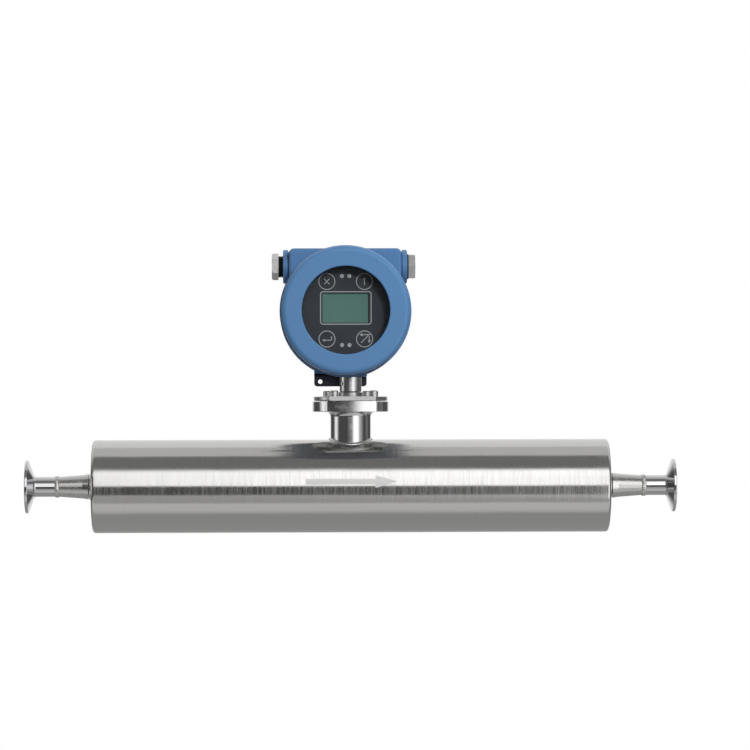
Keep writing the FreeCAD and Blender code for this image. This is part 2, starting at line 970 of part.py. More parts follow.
def housing():
    body = housing_barrel()
    added = [top_block(), conduit_boss(X), conduit_boss(-X), stem_boss(), bracket_pad()]
    body = body.multiFuse(added)
    centre = in_head(0, 0, 0)
    body = body.cut(rod(centre + Y * bulkhead_front, -Y, housing_bore, thread_end + bulkhead_front))
    body = body.cut(rod(centre + Y * bulkhead_back, Y, housing_bore, thread_end - bulkhead_back))
    for direction in (X, -X):
        body = body.cut(rod(conduit_centre, direction, conduit_bore, conduit_end))
    body = body.cut(rod(Vector(middle, 0, boss_bottom), Z, stem_thread_od, stem_thread_length + overrun))
    passage = in_head(passage_x, bulkhead_front, passage_z)
    body = body.cut(rod(passage, Y, passage_diameter, bulkhead_thickness))
    earth = in_head(earth_x, bulkhead_back, earth_z)
    body = body.fuse(rod(earth, Y, earth_boss_od, earth_boss_height))
    body = body.cut(rod(earth + Y * earth_hole_floor, Y, bracket_screw_diameter, earth_boss_height))
    for x in bracket_screw_places:
        hole = Vector(middle + x, bracket_screw_y(), pad_bottom)
        depth = bracket_screw_length - bracket_thickness + overrun
        body = body.cut(rod(hole, Z, bracket_screw_diameter, depth))
    return body.removeSplitter()


# Folded bracket


def bracket_screw_y():
    return (pad_front + pad_back) / 2


def tag_bracket():
    """Sheet folded at the top: one leg under the pad, one hanging behind the stem with its hole."""
    left = middle + bracket_left
    width = bracket_right - bracket_left
    back = bracket_front + bracket_thickness
    under = pad_bottom - bracket_thickness
    inner_bend = bracket_bend - bracket_thickness
    fold = [
        (bracket_front, bracket_bottom),
        (back, bracket_bottom),
        (back, under, inner_bend),
        (bracket_front + bracket_leg, under),
        (bracket_front + bracket_leg, pad_bottom),
        (bracket_front, pad_bottom, bracket_bend),
    ]
    sheet = slab(fold, Vector(left, 0, 0), Y, Z, X * width)
    trim = block(
        left,
        left + width,
        bracket_front - overrun,
        back + overrun,
        bracket_bottom,
        pad_bottom + bracket_corner * 2,
        bracket_corner,
    )
    rest = block(left, left + width, back, bracket_front + bracket_leg, bracket_bottom, pad_bottom)
    sheet = sheet.common(trim.fuse(rest))
    through = bracket_thickness + 2 * overrun
    tag_hole = Vector(left + tag_hole_inset, bracket_front - overrun, bracket_bottom + tag_hole_rise)
    sheet = sheet.cut(rod(tag_hole, Y, tag_hole_diameter, through))
    for x in bracket_screw_places:
        hole = Vector(middle + x, bracket_screw_y(), under - overrun)
        size = bracket_screw_diameter + 2 * screw_hole_clearance
        sheet = sheet.cut(rod(hole, Z, size, through))
    return sheet


def bracket_screws():
    screws = []
    for x in bracket_screw_places:
        seat = Vector(middle + x, bracket_screw_y(), pad_bottom - bracket_thickness)
        screws.append(
            socket_screw(
                seat,
                -Z,
                bracket_screw_head_od,
                bracket_screw_head_height,
                bracket_screw_diameter,
                bracket_screw_length,
                set_screw_socket,
                bracket_screw_head_height / 2,
            )
        )
    return screws


# Covers


def front_cover():
    outer = cover_od / 2
    corners = [
        (-front_face, window_opening / 2, window_edge),
        (-front_face, outer, cover_edge),
        (-cover_start, outer, -edge_break),
        (-cover_start, thread_od / 2 + cover_thread_clearance),
        (-cover_inside, thread_od / 2 + cover_thread_clearance),
        (-cover_inside, window_pocket / 2),
        (-window_back, window_pocket / 2),
        (-window_back, window_opening / 2),
    ]
    return turned(corners, head_axis)


def window_gasket():
    outer = window_pocket / 2 - pocket_clearance
    return ring(head_axis, -window_back, -glass_front, outer - window_gasket_width, outer)


def window_glass():
    edge = window_pocket / 2 - pocket_clearance
    corners = [
        (-glass_front, 0),
        (-glass_front, edge, -edge_break),
        (-glass_back, edge, -edge_break),
        (-glass_back, 0),
    ]
    return turned(corners, head_axis)


def window_retainer():
    """Threaded ring behind the glass, with four wrench slots."""
    outer = window_pocket / 2 - retainer_clearance
    back = glass_back - retainer_thickness
    body = ring(head_axis, -glass_back, -back, retainer_bore / 2, outer)
    for k in range(4):
        slot = Part.makeBox(outer, retainer_slot_depth, retainer_slot_width)
        slot.translate(in_head(0, -back - retainer_slot_depth, -retainer_slot_width / 2))
        slot.rotate(in_head(0, 0, 0), Y, 45 + 90 * k)
        body = body.cut(slot)
    return body


def rear_cover():
    outer = cover_od / 2
    inside_wall = rear_face - rear_wall
    corners = [
        (rear_face - rear_recess_depth, 0),
        (rear_face - rear_recess_depth, rear_recess_od / 2, rear_recess_edge),
        (rear_face, rear_recess_od / 2 + rear_recess_depth, rear_recess_edge),
        (rear_face, outer, cover_edge),
        (cover_start, outer, -edge_break),
        (cover_start, thread_od / 2 + cover_thread_clearance),
        (cover_inside, thread_od / 2 + cover_thread_clearance),
        (cover_inside, rear_hollow / 2),
        (inside_wall, rear_hollow / 2, rear_inner_corner),
        (inside_wall, 0),
    ]
    return turned(corners, head_axis)


def cover_seal(direction):
    """Rubber ring in the groove at the foot of a cover thread."""
    inner = seal_groove_od / 2
    outer = thread_od / 2 + cover_thread_clearance - seal_clearance
    soft = (outer - inner) / 2 * seal_roundness
    near = cover_start
    far = rim_face + seal_groove_width
    corners = [
        (near, inner, soft),
        (near, outer, soft),
        (far, outer, soft),
        (far, inner, soft),
    ]
    return turned(corners, (in_head(0, 0, 0), direction, Z))


# Cable entry plugs


def plug(direction, seal_width, first_corner):
    """Hexagon plug with a chamfered head, screwed into a cable entry over its seal."""
    seat = conduit_end + seal_width
    radius = plug_across_flats / math.sqrt(3)
    tip = conduit_end - plug_shank_length
    shank = conduit_bore / 2 - plug_shank_clearance
    head = hexagon(
        conduit_centre + direction * seat,
        direction,
        plug_across_flats,
        plug_head_height,
        first_corner,
    )
    corners = [
        (seat, 0),
        (seat, radius),
        (seat + plug_head_height, radius, -plug_head_chamfer),
        (seat + plug_head_height, 0),
    ]
    axis = (conduit_centre, direction, Z)
    head = head.common(turned(corners, axis))
    shank_corners = [(tip, 0), (tip, shank, -plug_tip_chamfer), (seat, shank), (seat, 0)]
    return head.fuse(turned(shank_corners, axis))


def left_plug_seal():
    """Ribbed rubber seal that stands between the collar and the plug."""
    inner = conduit_bore / 2
    outer = left_seal_od / 2
    pitch = left_seal_width / left_seal_ribs
    corners = [(conduit_end, inner)]
    for k in range(left_seal_ribs):
        start = conduit_end + k * pitch
        corners.append((start, outer - left_seal_rib_depth))
        corners.append((start + pitch / 2, outer))
    corners.append((conduit_end + left_seal_width, outer - left_seal_rib_depth))
    corners.append((conduit_end + left_seal_width, inner))
    return turned(corners, (conduit_centre, -X, Z))


def right_plug_seal():
    axis = (conduit_centre, X, Z)
    return ring(axis, conduit_end, conduit_end + right_seal_width, conduit_bore / 2, right_seal_od / 2)


# Display stack


def standoff_points(y):
    points = []
    for k in range(4):
        turn = math.radians(standoff_turn + 90 * k)
        across = standoff_circle / 2 * math.cos(turn)
        up = standoff_circle / 2 * math.sin(turn)
        points.append(in_head(across, y, up))
    return points


def display_panel():
    """Moulded front panel with the screen window, four lamp holes, a skirt and four posts."""
    outer = panel_od / 2
    corners = [
        (panel_front, 0),
        (panel_front, outer, edge_break),
        (panel_front + panel_skirt, outer),
        (panel_front + panel_skirt, outer - panel_skirt_wall),
        (panel_back, outer - panel_skirt_wall),
        (panel_back, 0),
    ]
    body = turned(corners, head_axis)
    half = screen_width / 2
    centre_z = head_height + screen_rise
    body = body.cut(
        block(
            head_x - half,
            head_x + half,
            panel_front - overrun,
            panel_back + overrun,
            centre_z - screen_height / 2,
            centre_z + screen_height / 2,
            screen_corner,
        )
    )
    for x, z in lamp_places:
        hole = in_head(x, panel_front - overrun, z)
        body = body.cut(rod(hole, Y, lamp_diameter, panel_thickness + 2 * overrun))
    for foot in standoff_points(panel_back):
        body = body.fuse(rod(foot, Y, standoff_diameter, lcd_thickness))
    return body


def lcd_module():
    centre_z = head_height + screen_rise
    return block(
        head_x - lcd_width / 2,
        head_x + lcd_width / 2,
        panel_back,
        display_board_front,
        centre_z - lcd_height / 2,
        centre_z + lcd_height / 2,
        screen_corner,
    )


def indicator_lamps():
    lamps = []
    for x, z in lamp_places:
        length = display_board_front - panel_front
        lamps.append(rod(in_head(x, panel_front, z), Y, lamp_diameter - 2 * thread_clearance, length))
    return lamps


def round_board(front):
    return rod(in_head(0, front, 0), Y, board_od, board_thickness)


def display_board():
    return round_board(display_board_front)


def main_board():
    """Round board with its soldered parts on the front side."""
    body = round_board(main_board_front)
    for x, z, width, height, depth in main_board_parts:
        front = main_board_front - depth
        piece = Part.makeBox(width, depth, height, in_head(x - width / 2, front, z - height / 2))
        body = body.fuse(piece)
    return body.removeSplitter()


def board_standoffs():
    """Posts between the two boards and between the main board and the bulkhead."""
    upper = [rod(p, Y, standoff_diameter, display_gap) for p in standoff_points(display_board_back)]
    length = bulkhead_front - main_board_back
    lower = [rod(p, Y, standoff_diameter, length) for p in standoff_points(main_board_back)]
    return upper + lower


def bulkhead_seal():
    """Potted bush that carries the wires through the bulkhead."""
    shank = passage_diameter / 2 - thread_clearance
    lip = passage_lip_od / 2
    front = bulkhead_front - passage_lip
    back = bulkhead_back + passage_lip
    corners = [
        (front, 0),
        (front, lip, edge_break),
        (bulkhead_front, lip),
        (bulkhead_front, shank),
        (bulkhead_back, shank),
        (bulkhead_back, lip),
        (back, lip, edge_break),
        (back, 0),
    ]
    return turned(corners, (in_head(passage_x, 0, passage_z), Y, Z))


# Rear compartment


def power_module():
    half = module_width / 2
    low = head_height + module_centre_z - module_height / 2
    return block(
        head_x - half,
        head_x + half,
        bulkhead_back,
        bulkhead_back + module_depth,
        low,
        low + module_height,
        module_corner,
    )


def terminal_posts():
    length = terminal_board_face - bulkhead_back
    posts = []
    for x in (-terminal_post_reach, terminal_post_reach):
        for z in terminal_post_heights:
            posts.append(rod(in_head(x, bulkhead_back, z), Y, standoff_diameter, length))
    return posts


def terminal_board():
    """Disc that fits the compartment, cut straight along its top and bottom edges."""
    half = housing_bore / 2
    board_back = terminal_board_face + board_thickness
    disc_od = housing_bore - 2 * terminal_board_gap
    disc = rod(in_head(0, terminal_board_face, 0), Y, disc_od, board_thickness)
    top = head_height + terminal_board_top
    bottom = head_height + terminal_board_bottom
    return disc.common(block(head_x - half, head_x + half, terminal_board_face, board_back, bottom, top))


def terminal_x(way):
    return (way - (terminal_ways - 1) / 2) * terminal_pitch


def terminal_block():
    """Row of clamps with a wire mouth below and a screw well behind each."""
    half = terminal_ways * terminal_pitch / 2
    face = terminal_board_face + board_thickness
    low = terminal_centre_z - terminal_height / 2
    body = Part.makeBox(2 * half, terminal_depth, terminal_height, in_head(-half, face, low))
    for way in range(terminal_ways):
        mouth = in_head(terminal_x(way), face + terminal_depth / 2, low)
        body = body.cut(rod(mouth, Z, terminal_funnel, terminal_funnel_depth))
        well = in_head(terminal_x(way), face + terminal_depth, terminal_centre_z)
        depth = terminal_screw_length + terminal_screw_sink
        body = body.cut(rod(well, -Y, terminal_screw_diameter + 2 * thread_clearance, depth))
    return body


def terminal_screws():
    """Slotted clamp screws sunk in their wells."""
    head = terminal_board_face + board_thickness + terminal_depth - terminal_screw_sink
    screws = []
    for way in range(terminal_ways):
        centre = in_head(terminal_x(way), head, terminal_centre_z)
        screw = rod(centre, -Y, terminal_screw_diameter, terminal_screw_length)
        slot = Part.makeBox(terminal_screw_diameter, terminal_slot_width, terminal_slot_width)
        slot.translate(centre - X * terminal_screw_diameter / 2)
        slot.translate(-Y * terminal_slot_width - Z * terminal_slot_width / 2)
        screws.append(screw.cut(slot))
    return screws


def earth_screw():
    """Earth terminal: screw with a square washer on the boss in the rear compartment."""
    seat = in_head(earth_x, bulkhead_back + earth_boss_height, earth_z)
    half = earth_washer / 2
    washer = Part.makeBox(earth_washer, earth_washer_thickness, earth_washer, seat - X * half - Z * half)
    screw = socket_screw(
        seat + Y * earth_washer_thickness,
        Y,
        earth_screw_head_od,
        earth_screw_head_height,
        bracket_screw_diameter,
        earth_boss_height - earth_hole_floor,
        screw_socket,
        earth_screw_head_height / 2,
    )
    return washer.fuse(screw)


# All pieces by name


def add(name, shapes):
    nodes[name] = shapes if isinstance(shapes, list) else [shapes]


def add_ends(name, shapes):
    """Adds a piece at the inlet and its mirror image at the outlet."""
    group = shapes if isinstance(shapes, list) else [shapes]
    add("inlet_" + name, group)
    add("outlet_" + name, [outlet_copy(shape) for shape in group])


add_ends("ferrule", ferrule())
add_ends("ferrule_weld", weld_bead(ferrule_length, line_od, line_bore))
add_ends("reducer", reducer())
add_ends("case_weld", weld_bead(reducer_end, reducer_od, line_bore))
add_ends("end_cap", end_cap())
add_ends("splitter", splitter())
add("brace_plates", brace_plates() + [outlet_copy(plate) for plate in brace_plates()])
add("case_tube", case_tube())
add("front_flow_tube", flow_tube(-tube_offset))
add("rear_flow_tube", flow_tube(tube_offset))
for station, place in stations.items():
    add(station + "_coil", coil(place))
    add(station + "_magnet", magnet(place))
add("coil_saddles", [saddle(place, 1) for place in stations.values()])
add("magnet_saddles", [saddle(place, -1) for place in stations.values()])
add("temperature_sensor", temperature_sensor())
add("neck_flange", neck_flange())
add("neck_weld", neck_weld())
add("feedthrough", feedthrough())
add("flange_gasket", flange_gasket())
add("adapter_plate", adapter_plate())
add("flange_washers", flange_washers())
add("flange_screws", flange_screws())
add("stem", stem())
add("stem_set_screw", stem_set_screw())
add("housing", housing())
add("tag_bracket", tag_bracket())
add("bracket_screws", bracket_screws())
add("left_plug", plug(-X, left_seal_width, Z))
add("left_plug_seal", left_plug_seal())
add("right_plug", plug(X, right_seal_width, -Y))
add("right_plug_seal", right_plug_seal())
add("display_panel", display_panel())
add("lcd_module", lcd_module())
add("indicator_lamps", indicator_lamps())
add("display_board", display_board())
add("main_board", main_board())
add("board_standoffs", board_standoffs())
add("bulkhead_seal", bulkhead_seal())
add("power_module", power_module())
add("terminal_posts", terminal_posts())
add("terminal_board", terminal_board())
add("terminal_block", terminal_block())
add("terminal_screws", terminal_screws())
add("earth_screw", earth_screw())
add("cover_seals", [cover_seal(-Y), cover_seal(Y)])
add("front_cover", front_cover())
add("window_gasket", window_gasket())
add("window_glass", window_glass())
add("window_retainer", window_retainer())
add("rear_cover", rear_cover())

os.makedirs("parts", exist_ok=True)
for name, shapes in nodes.items():
    solids = [solid for shape in shapes for solid in shape.Solids]
    result = solids[0] if len(solids) == 1 else Part.makeCompound(solids)
    result.exportStep("parts/" + name + ".step")
    valid = all(solid.isValid() for solid in solids)
    print(name, len(solids), valid, round(sum(solid.Volume for solid in solids)))
print(len(nodes), "nodes")
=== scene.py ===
import bmesh
import bpy
import math
from mathutils import Matrix, Vector


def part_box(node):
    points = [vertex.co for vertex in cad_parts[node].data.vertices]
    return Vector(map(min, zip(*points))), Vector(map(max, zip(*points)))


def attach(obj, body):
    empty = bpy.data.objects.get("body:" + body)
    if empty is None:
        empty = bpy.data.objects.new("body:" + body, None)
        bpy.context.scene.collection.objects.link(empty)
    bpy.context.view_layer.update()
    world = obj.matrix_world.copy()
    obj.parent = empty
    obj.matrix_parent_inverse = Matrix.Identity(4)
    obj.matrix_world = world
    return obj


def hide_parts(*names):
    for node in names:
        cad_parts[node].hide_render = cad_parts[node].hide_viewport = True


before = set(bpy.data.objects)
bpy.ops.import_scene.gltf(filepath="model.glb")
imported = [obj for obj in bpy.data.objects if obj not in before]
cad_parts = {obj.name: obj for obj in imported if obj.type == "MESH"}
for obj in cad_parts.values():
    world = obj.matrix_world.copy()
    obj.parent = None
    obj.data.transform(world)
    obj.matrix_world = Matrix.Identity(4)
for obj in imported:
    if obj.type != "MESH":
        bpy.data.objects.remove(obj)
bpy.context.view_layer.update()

# ------------------------------------------------
# The studio. A flow meter is photographed in a light tent: a long strip light runs over the pipe
# line, the room behind the camera is dark, a softbox stands at the right and one behind at the left.
# The white sweep round it is the backdrop, and the pale floor under the meter keeps its shadow.
# ------------------------------------------------


def put(tree, kind, sockets=None, **fields):
    """Adds a node with its fields set, and gives each socket a value or joins it to another socket."""
    made = tree.nodes.new(kind)
    for field, value in fields.items():
        setattr(made, field, value)
    for key, value in (sockets or {}).items():
        if isinstance(value, bpy.types.NodeSocket):
            tree.links.new(value, made.inputs[key])
        else:
            made.inputs[key].default_value = value
    return made


def sums(tree, operation, first, second=0.0):
    """A Math node on values or sockets, and its result."""
    return put(tree, "ShaderNodeMath", {0: first, 1: second}, operation=operation).outputs[0]


def spread(tree, value, start, end, low=0.0, high=1.0, smooth=False):
    """Runs from low to high while the value goes from start to end, evenly or with soft ends."""
    return put(tree, "ShaderNodeMapRange", {
        "Value": value, "From Min": start, "From Max": end, "To Min": low, "To Max": high},
        interpolation_type="SMOOTHSTEP" if smooth else "LINEAR").outputs[0]


def mixed_value(tree, share, none, full):
    """The value between these two at this share of the second."""
    return put(tree, "ShaderNodeMix", {0: share, 2: none, 3: full}, data_type="FLOAT").outputs[0]


def new_group(name, takes, gives):
    """A shader node group with its named inputs and outputs. A default that is a tuple makes a vector."""
    tree = bpy.data.node_groups.new(name, "ShaderNodeTree")
    for label, start in takes.items():
        kind = "NodeSocketVector" if isinstance(start, tuple) else "NodeSocketFloat"
        tree.interface.new_socket(label, in_out="INPUT", socket_type=kind).default_value = start
    for label in gives:
        tree.interface.new_socket(label, in_out="OUTPUT", socket_type="NodeSocketFloat")
    return tree, tree.nodes.new("NodeGroupInput").outputs, tree.nodes.new("NodeGroupOutput").inputs


# One lamp or card of the tent: full between its two edges, with soft borders.
lamp_tree, lamp_in, lamp_out = new_group(
    "Lamp between two angles", {"Angle": 0.0, "From": 0.0, "To": 90.0, "Soft": 1.0}, ["Mask"])
borders = []
for edge, before, after in (("From", 0.0, 1.0), ("To", 1.0, 0.0)):
    start = sums(lamp_tree, "SUBTRACT", lamp_in[edge], lamp_in["Soft"])
    end = sums(lamp_tree, "ADD", lamp_in[edge], lamp_in["Soft"])
    borders.append(spread(lamp_tree, lamp_in["Angle"], start, end, before, after, smooth=True))
lamp_tree.links.new(sums(lamp_tree, "MULTIPLY", *borders), lamp_out["Mask"])

tent = bpy.data.worlds.new("light_tent")
bpy.context.scene.world = tent
tent.use_nodes = True
sky = tent.node_tree
sky.nodes.clear()
ray = put(sky, "ShaderNodeSeparateXYZ", {0: put(sky, "ShaderNodeTexCoord").outputs["Generated"]}).outputs
forward = sums(sky, "MULTIPLY", ray["Y"], -1.0)
over_line = sums(sky, "DEGREES", sums(sky, "ARCTAN2", ray["Z"], forward))
round_neck = sums(sky, "DEGREES", sums(sky, "ARCTAN2", ray["X"], forward))
height = sums(sky, "DEGREES", sums(sky, "ARCSINE", ray["Z"]))

# Each lamp or card: from where to where it stands over the pipe line, round the neck and in height,
# each in degrees with the softness of its two edges, and how bright it looks in polished steel.
# Nothing (None) stands for all the way. A later one hangs before an earlier one.
tent_parts = [
    ((113.0, 400.0, 2.0), None, None, 0.92),
    ((80.8, 113.0, 1.2), None, None, 0.67),
    ((38.0, 80.8, 1.2), None, None, 0.22),
    ((13.0, 40.0, 6.5), (-12.0, 60.0, 3.0), None, 1.32),
    ((1.1, 32.0, 1.2), (-12.0, 60.0, 3.0), None, 1.32),
    ((13.0, 40.0, 6.5), (-1.4, 60.0, 1.6), None, 1.95),
    ((1.1, 32.0, 1.2), (-1.4, 60.0, 1.6), None, 1.95),
    ((-22.0, 1.1, 1.4), None, None, 0.065),
    ((-43.0, -22.0, 2.5), None, None, 0.43),
    ((-66.0, -43.0, 4.0), None, None, 0.68),
    ((-163.0, -66.0, 8.0), None, None, 0.385),
    (None, (10.0, 150.0, 5.0), (-24.0, 24.0, 3.0), 0.10),
    (None, (13.0, 68.0, 11.0), (-24.0, 34.0, 3.0), 0.55),
    (None, (13.0, 47.0, 8.0), (-30.0, 36.0, 2.0), 1.7),
    (None, (96.0, 114.0, 4.0), (-24.0, 24.0, 3.0), 0.22),
    (None, (-150.0, -14.0, 10.0), (-24.0, 24.0, 3.0), 0.09),
    (None, (-102.0, -80.0, 11.0), (-10.0, 10.0, 3.0), 1.4),
]
sweep_in_metal = 0.9
seen = sweep_in_metal
for over, around, up, level in tent_parts:
    mask = 1.0
    for angle, span in ((over_line, over), (round_neck, around), (height, up)):
        if span:
            edges = dict(zip(("From", "To", "Soft"), span))
            part = put(sky, "ShaderNodeGroup", {"Angle": angle, **edges}, node_tree=lamp_tree)
            mask = sums(sky, "MULTIPLY", part.outputs[0], mask)
    seen = mixed_value(sky, mask, seen, level)


def looking_rays(tree):
    """Whether a ray comes off metal, and whether it is any ray that looks at something."""
    path = put(tree, "ShaderNodeLightPath").outputs
    mirrored = path["Is Glossy Ray"]
    others = sums(tree, "ADD", mirrored, path["Is Transmission Ray"])
    return mirrored, sums(tree, "ADD", path["Is Camera Ray"], others)


# The camera and glass see the white backdrop, polished metal sees the lamps and dark cards of the
# tent before the sweep, and everything is lit by the tent's plain level, which sinks to the floor.
backdrop_white = 1.0
tent_level, low_level = 0.46, 0.12
mirrored, looked_at = looking_rays(sky)
shown = mixed_value(sky, mirrored, backdrop_white, seen)
lighting = spread(sky, ray["Z"], -0.5, 0.3, low_level, tent_level)
level = mixed_value(sky, looked_at, lighting, shown)
light_of_tent = put(sky, "ShaderNodeBackground", {"Color": (1.0, 1.0, 1.0, 1.0), "Strength": level})
put(sky, "ShaderNodeOutputWorld", {"Surface": light_of_tent.outputs[0]})


def new_object(name, data):
    """An object of this data, put into the scene."""
    made = bpy.data.objects.new(name, data)
    bpy.context.scene.collection.objects.link(made)
    return made


# The key lamp at the upper right in front of the meter, and a small lamp near the right side of the
# head, each with its place, size and power. Steel sees the tent's softbox in their place.
lamps = {"key_lamp": ((1.05, -2.1, 0.95), 0.35, 28.0), "side_lamp": ((0.72, -0.42, 0.62), 0.16, 0.9)}
lamp_aim = Vector((0.305, 0.0, 0.12))
for name, (place, size, power) in lamps.items():
    lamp = new_object(name, bpy.data.lights.new(name, "AREA"))
    lamp.data.shape = "DISK"
    lamp.data.size = size
    lamp.data.energy = power
    facing = (lamp_aim - Vector(place)).to_track_quat("-Z", "Y").to_matrix().to_4x4()
    lamp.matrix_world = Matrix.Translation(place) @ facing
    lamp.visible_glossy = False
    lamp.visible_transmission = False

# The camera stands low in front of the left half of the meter and looks a little up and to the right.
look_up, lean, look_right = math.radians(0.9288), math.radians(0.1558), math.radians(1.1408)
camera = new_object("camera", bpy.data.cameras.new("camera"))
camera.data.sensor_width = 36.0
camera.data.lens = 177.317
camera.location = (0.263, -3.53052, 0.04876)
camera.rotation_euler = (math.pi / 2.0 + look_up, lean, -look_right)
bpy.context.scene.camera = camera
bpy.context.scene.view_settings.view_transform = "Standard"


def mixed_colour(tree, share, none, full):
    """The colour between these two at this share of the second. Each is a socket, or red, green and blue."""
    none, full = [(*colour, 1.0) if isinstance(colour, tuple) else colour for colour in (none, full)]
    return put(tree, "ShaderNodeMix", {0: share, 6: none, 7: full}, data_type="RGBA").outputs[2]


# The floor: a pale round of card under the meter that fades out into the white sweep. From below it
# isn't seen.
floor_middle, floor_radius = (0.31, 0.0, -0.30), 0.54
fade_start, fade_end = 0.30, floor_radius - 0.02
floor_mesh = bmesh.new()
bmesh.ops.create_circle(floor_mesh, cap_ends=True, segments=96, radius=floor_radius,
                        matrix=Matrix.Translation(floor_middle))
floor_data = bpy.data.meshes.new("floor")
floor_mesh.to_mesh(floor_data)
floor = new_object("floor", floor_data)
card = bpy.data.materials.new("pale_card")
card.use_nodes = True
tree = card.node_tree
tree.nodes.clear()
paleness = mixed_colour(tree, looking_rays(tree)[1], (0.4, 0.4, 0.4), (0.96, 0.96, 0.96))
from_middle = put(tree, "ShaderNodeVectorMath", {
    0: put(tree, "ShaderNodeTexCoord").outputs["Object"], 1: floor_middle}, operation="DISTANCE")
fading = spread(tree, from_middle.outputs["Value"], fade_start, fade_end, smooth=True)
fading = sums(tree, "MAXIMUM", fading, put(tree, "ShaderNodeNewGeometry").outputs["Backfacing"])
mixed = put(tree, "ShaderNodeMixShader", {
    0: fading, 1: put(tree, "ShaderNodeBsdfDiffuse", {"Color": paleness}).outputs[0],
    2: put(tree, "ShaderNodeBsdfTransparent").outputs[0]})
put(tree, "ShaderNodeOutputMaterial", {"Surface": mixed.outputs[0]})
floor_data.materials.append(card)
floor.visible_glossy = False

# ------------------------------------------------
# Clamp ferrules with their stubs of line, turned from stainless bar and polished to a mirror, so
# they are easy to clean. Only fine lathe rings and wiping marks are left on them.
# ------------------------------------------------


def spaced(values):
    """These values by the names of their sockets, where each underscore stands for a space."""
    return {label.replace("_", " "): value for label, value in values.items()}


def new_finish(name, colour, metallic, roughness, **more):
    """A material with its Principled shader, and the surface's place for the patterns on it."""
    material = bpy.data.materials.new(name)
    material.use_nodes = True
    tree = material.node_tree
    tree.nodes.clear()
    shader = put(tree, "ShaderNodeBsdfPrincipled", {
        "Base Color": (*colour, 1.0), "Metallic": metallic, "Roughness": roughness, **spaced(more)})
    put(tree, "ShaderNodeOutputMaterial", {"Surface": shader.outputs[0]})
    return material, tree, shader, put(tree, "ShaderNodeTexCoord").outputs["Object"]


def place_group(tree, group, **sockets):
    """Puts a group into a material with these values or sockets, and gives its outputs."""
    return put(tree, "ShaderNodeGroup", spaced(sockets), node_tree=group).outputs


def noise(tree, place, scale, detail, **more):
    """A noise at this scale per metre, as a value from 0 to 1."""
    return put(tree, "ShaderNodeTexNoise", {"Vector": place, "Scale": scale, "Detail": detail, **more}).outputs[0]


def bumpy(tree, shader, height, depth, under=None):
    """Feeds a height in units of depth metres to the shader's normal, over a bump that lies under it."""
    below = {} if under is None else {"Normal": under}
    bump = put(tree, "ShaderNodeBump", {"Height": height, "Distance": depth, "Strength": 1.0, **below})
    tree.links.new(bump.outputs[0], shader.inputs["Normal"])
    return bump.outputs[0]


def give(material, *nodes):
    """Puts a material into every material slot of these CAD nodes."""
    for node in nodes:
        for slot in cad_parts[node].material_slots:
            slot.material = material


# Grain that a belt, a lathe tool or a brush leaves: a noise drawn out along one way, and the wide
# bands in it.
band_scale = 0.13
grain_tree, grain_in, grain_out = new_group(
    "Tool grain", {"Place": (0.0, 0.0, 0.0), "Lines per metre": (4000.0, 60.0, 60.0)}, ["Grain", "Bands"])
stretched = put(grain_tree, "ShaderNodeVectorMath",
                {0: grain_in["Place"], 1: grain_in["Lines per metre"]}, operation="MULTIPLY").outputs[0]
grain_tree.links.new(noise(grain_tree, stretched, 1.0, 4.0, Roughness=0.7), grain_out["Grain"])
grain_tree.links.new(noise(grain_tree, stretched, band_scale, 2.0), grain_out["Bands"])


def grained(tree, shader, place, lines, depth):
    """Tool grain with this many lines per metre along each axis, cut this many metres deep."""
    grain = place_group(tree, grain_tree, Place=place, Lines_per_metre=lines)["Grain"]
    bumpy(tree, shader, grain, depth)
    return grain


# Wiping marks and finger smudges, which dull a polish in clouds.
smudge_tree, smudge_in, smudge_out = new_group(
    "Wiping marks", {"Place": (0.0, 0.0, 0.0), "Clouds per metre": 60.0, "Clean": 0.1, "Dull": 0.2},
    ["Roughness", "Cloud"])
cloud = noise(smudge_tree, smudge_in["Place"], smudge_in["Clouds per metre"], 5.0, Distortion=0.6)
dulled = spread(smudge_tree, cloud, 0.35, 0.7, smudge_in["Clean"], smudge_in["Dull"], smooth=True)
smudge_tree.links.new(dulled, smudge_out["Roughness"])
smudge_tree.links.new(cloud, smudge_out["Cloud"])


def smudged(tree, shader, place, clouds, clean, dull):
    """Dulls a finish in this many clouds per metre, and gives the clouds."""
    marks = place_group(tree, smudge_tree, Place=place, Clouds_per_metre=clouds, Clean=clean, Dull=dull)
    tree.links.new(marks["Roughness"], shader.inputs["Roughness"])
    return marks["Cloud"]


polish, tree, shader, place = new_finish("mirror_polish", (0.62, 0.62, 0.63), 1.0, 0.06)
smudged(tree, shader, place, clouds=140.0, clean=0.04, dull=0.12)
grained(tree, shader, place, lines=(2600.0, 30.0, 30.0), depth=1.2e-6)
give(polish, "inlet_ferrule", "outlet_ferrule")


# ------------------------------------------------
# Weld beads: a bright rippled ring behind each ferrule, one where each reducer meets its cap, and the
# fillet that joins the neck to the case. The welder's pool leaves a scale every millimetre or so.
# ------------------------------------------------
bead_steel, tree, shader, place = new_finish("bead_steel", (0.60, 0.59, 0.575), 1.0, 0.16)
smudged(tree, shader, place, clouds=420.0, clean=0.1, dull=0.34)


def new_growth(name, takes):
    """A Geometry Nodes tree that takes the base shape and these named inputs, each with its kind."""
    tree = bpy.data.node_groups.new(name, "GeometryNodeTree")
    for label, kind in {"Geometry": "Geometry", **takes}.items():
        tree.interface.new_socket(label, in_out="INPUT", socket_type="NodeSocket" + kind)
    tree.interface.new_socket("Geometry", in_out="OUTPUT", socket_type="NodeSocketGeometry")
    return tree, tree.nodes.new("NodeGroupInput").outputs, tree.nodes.new("NodeGroupOutput").inputs


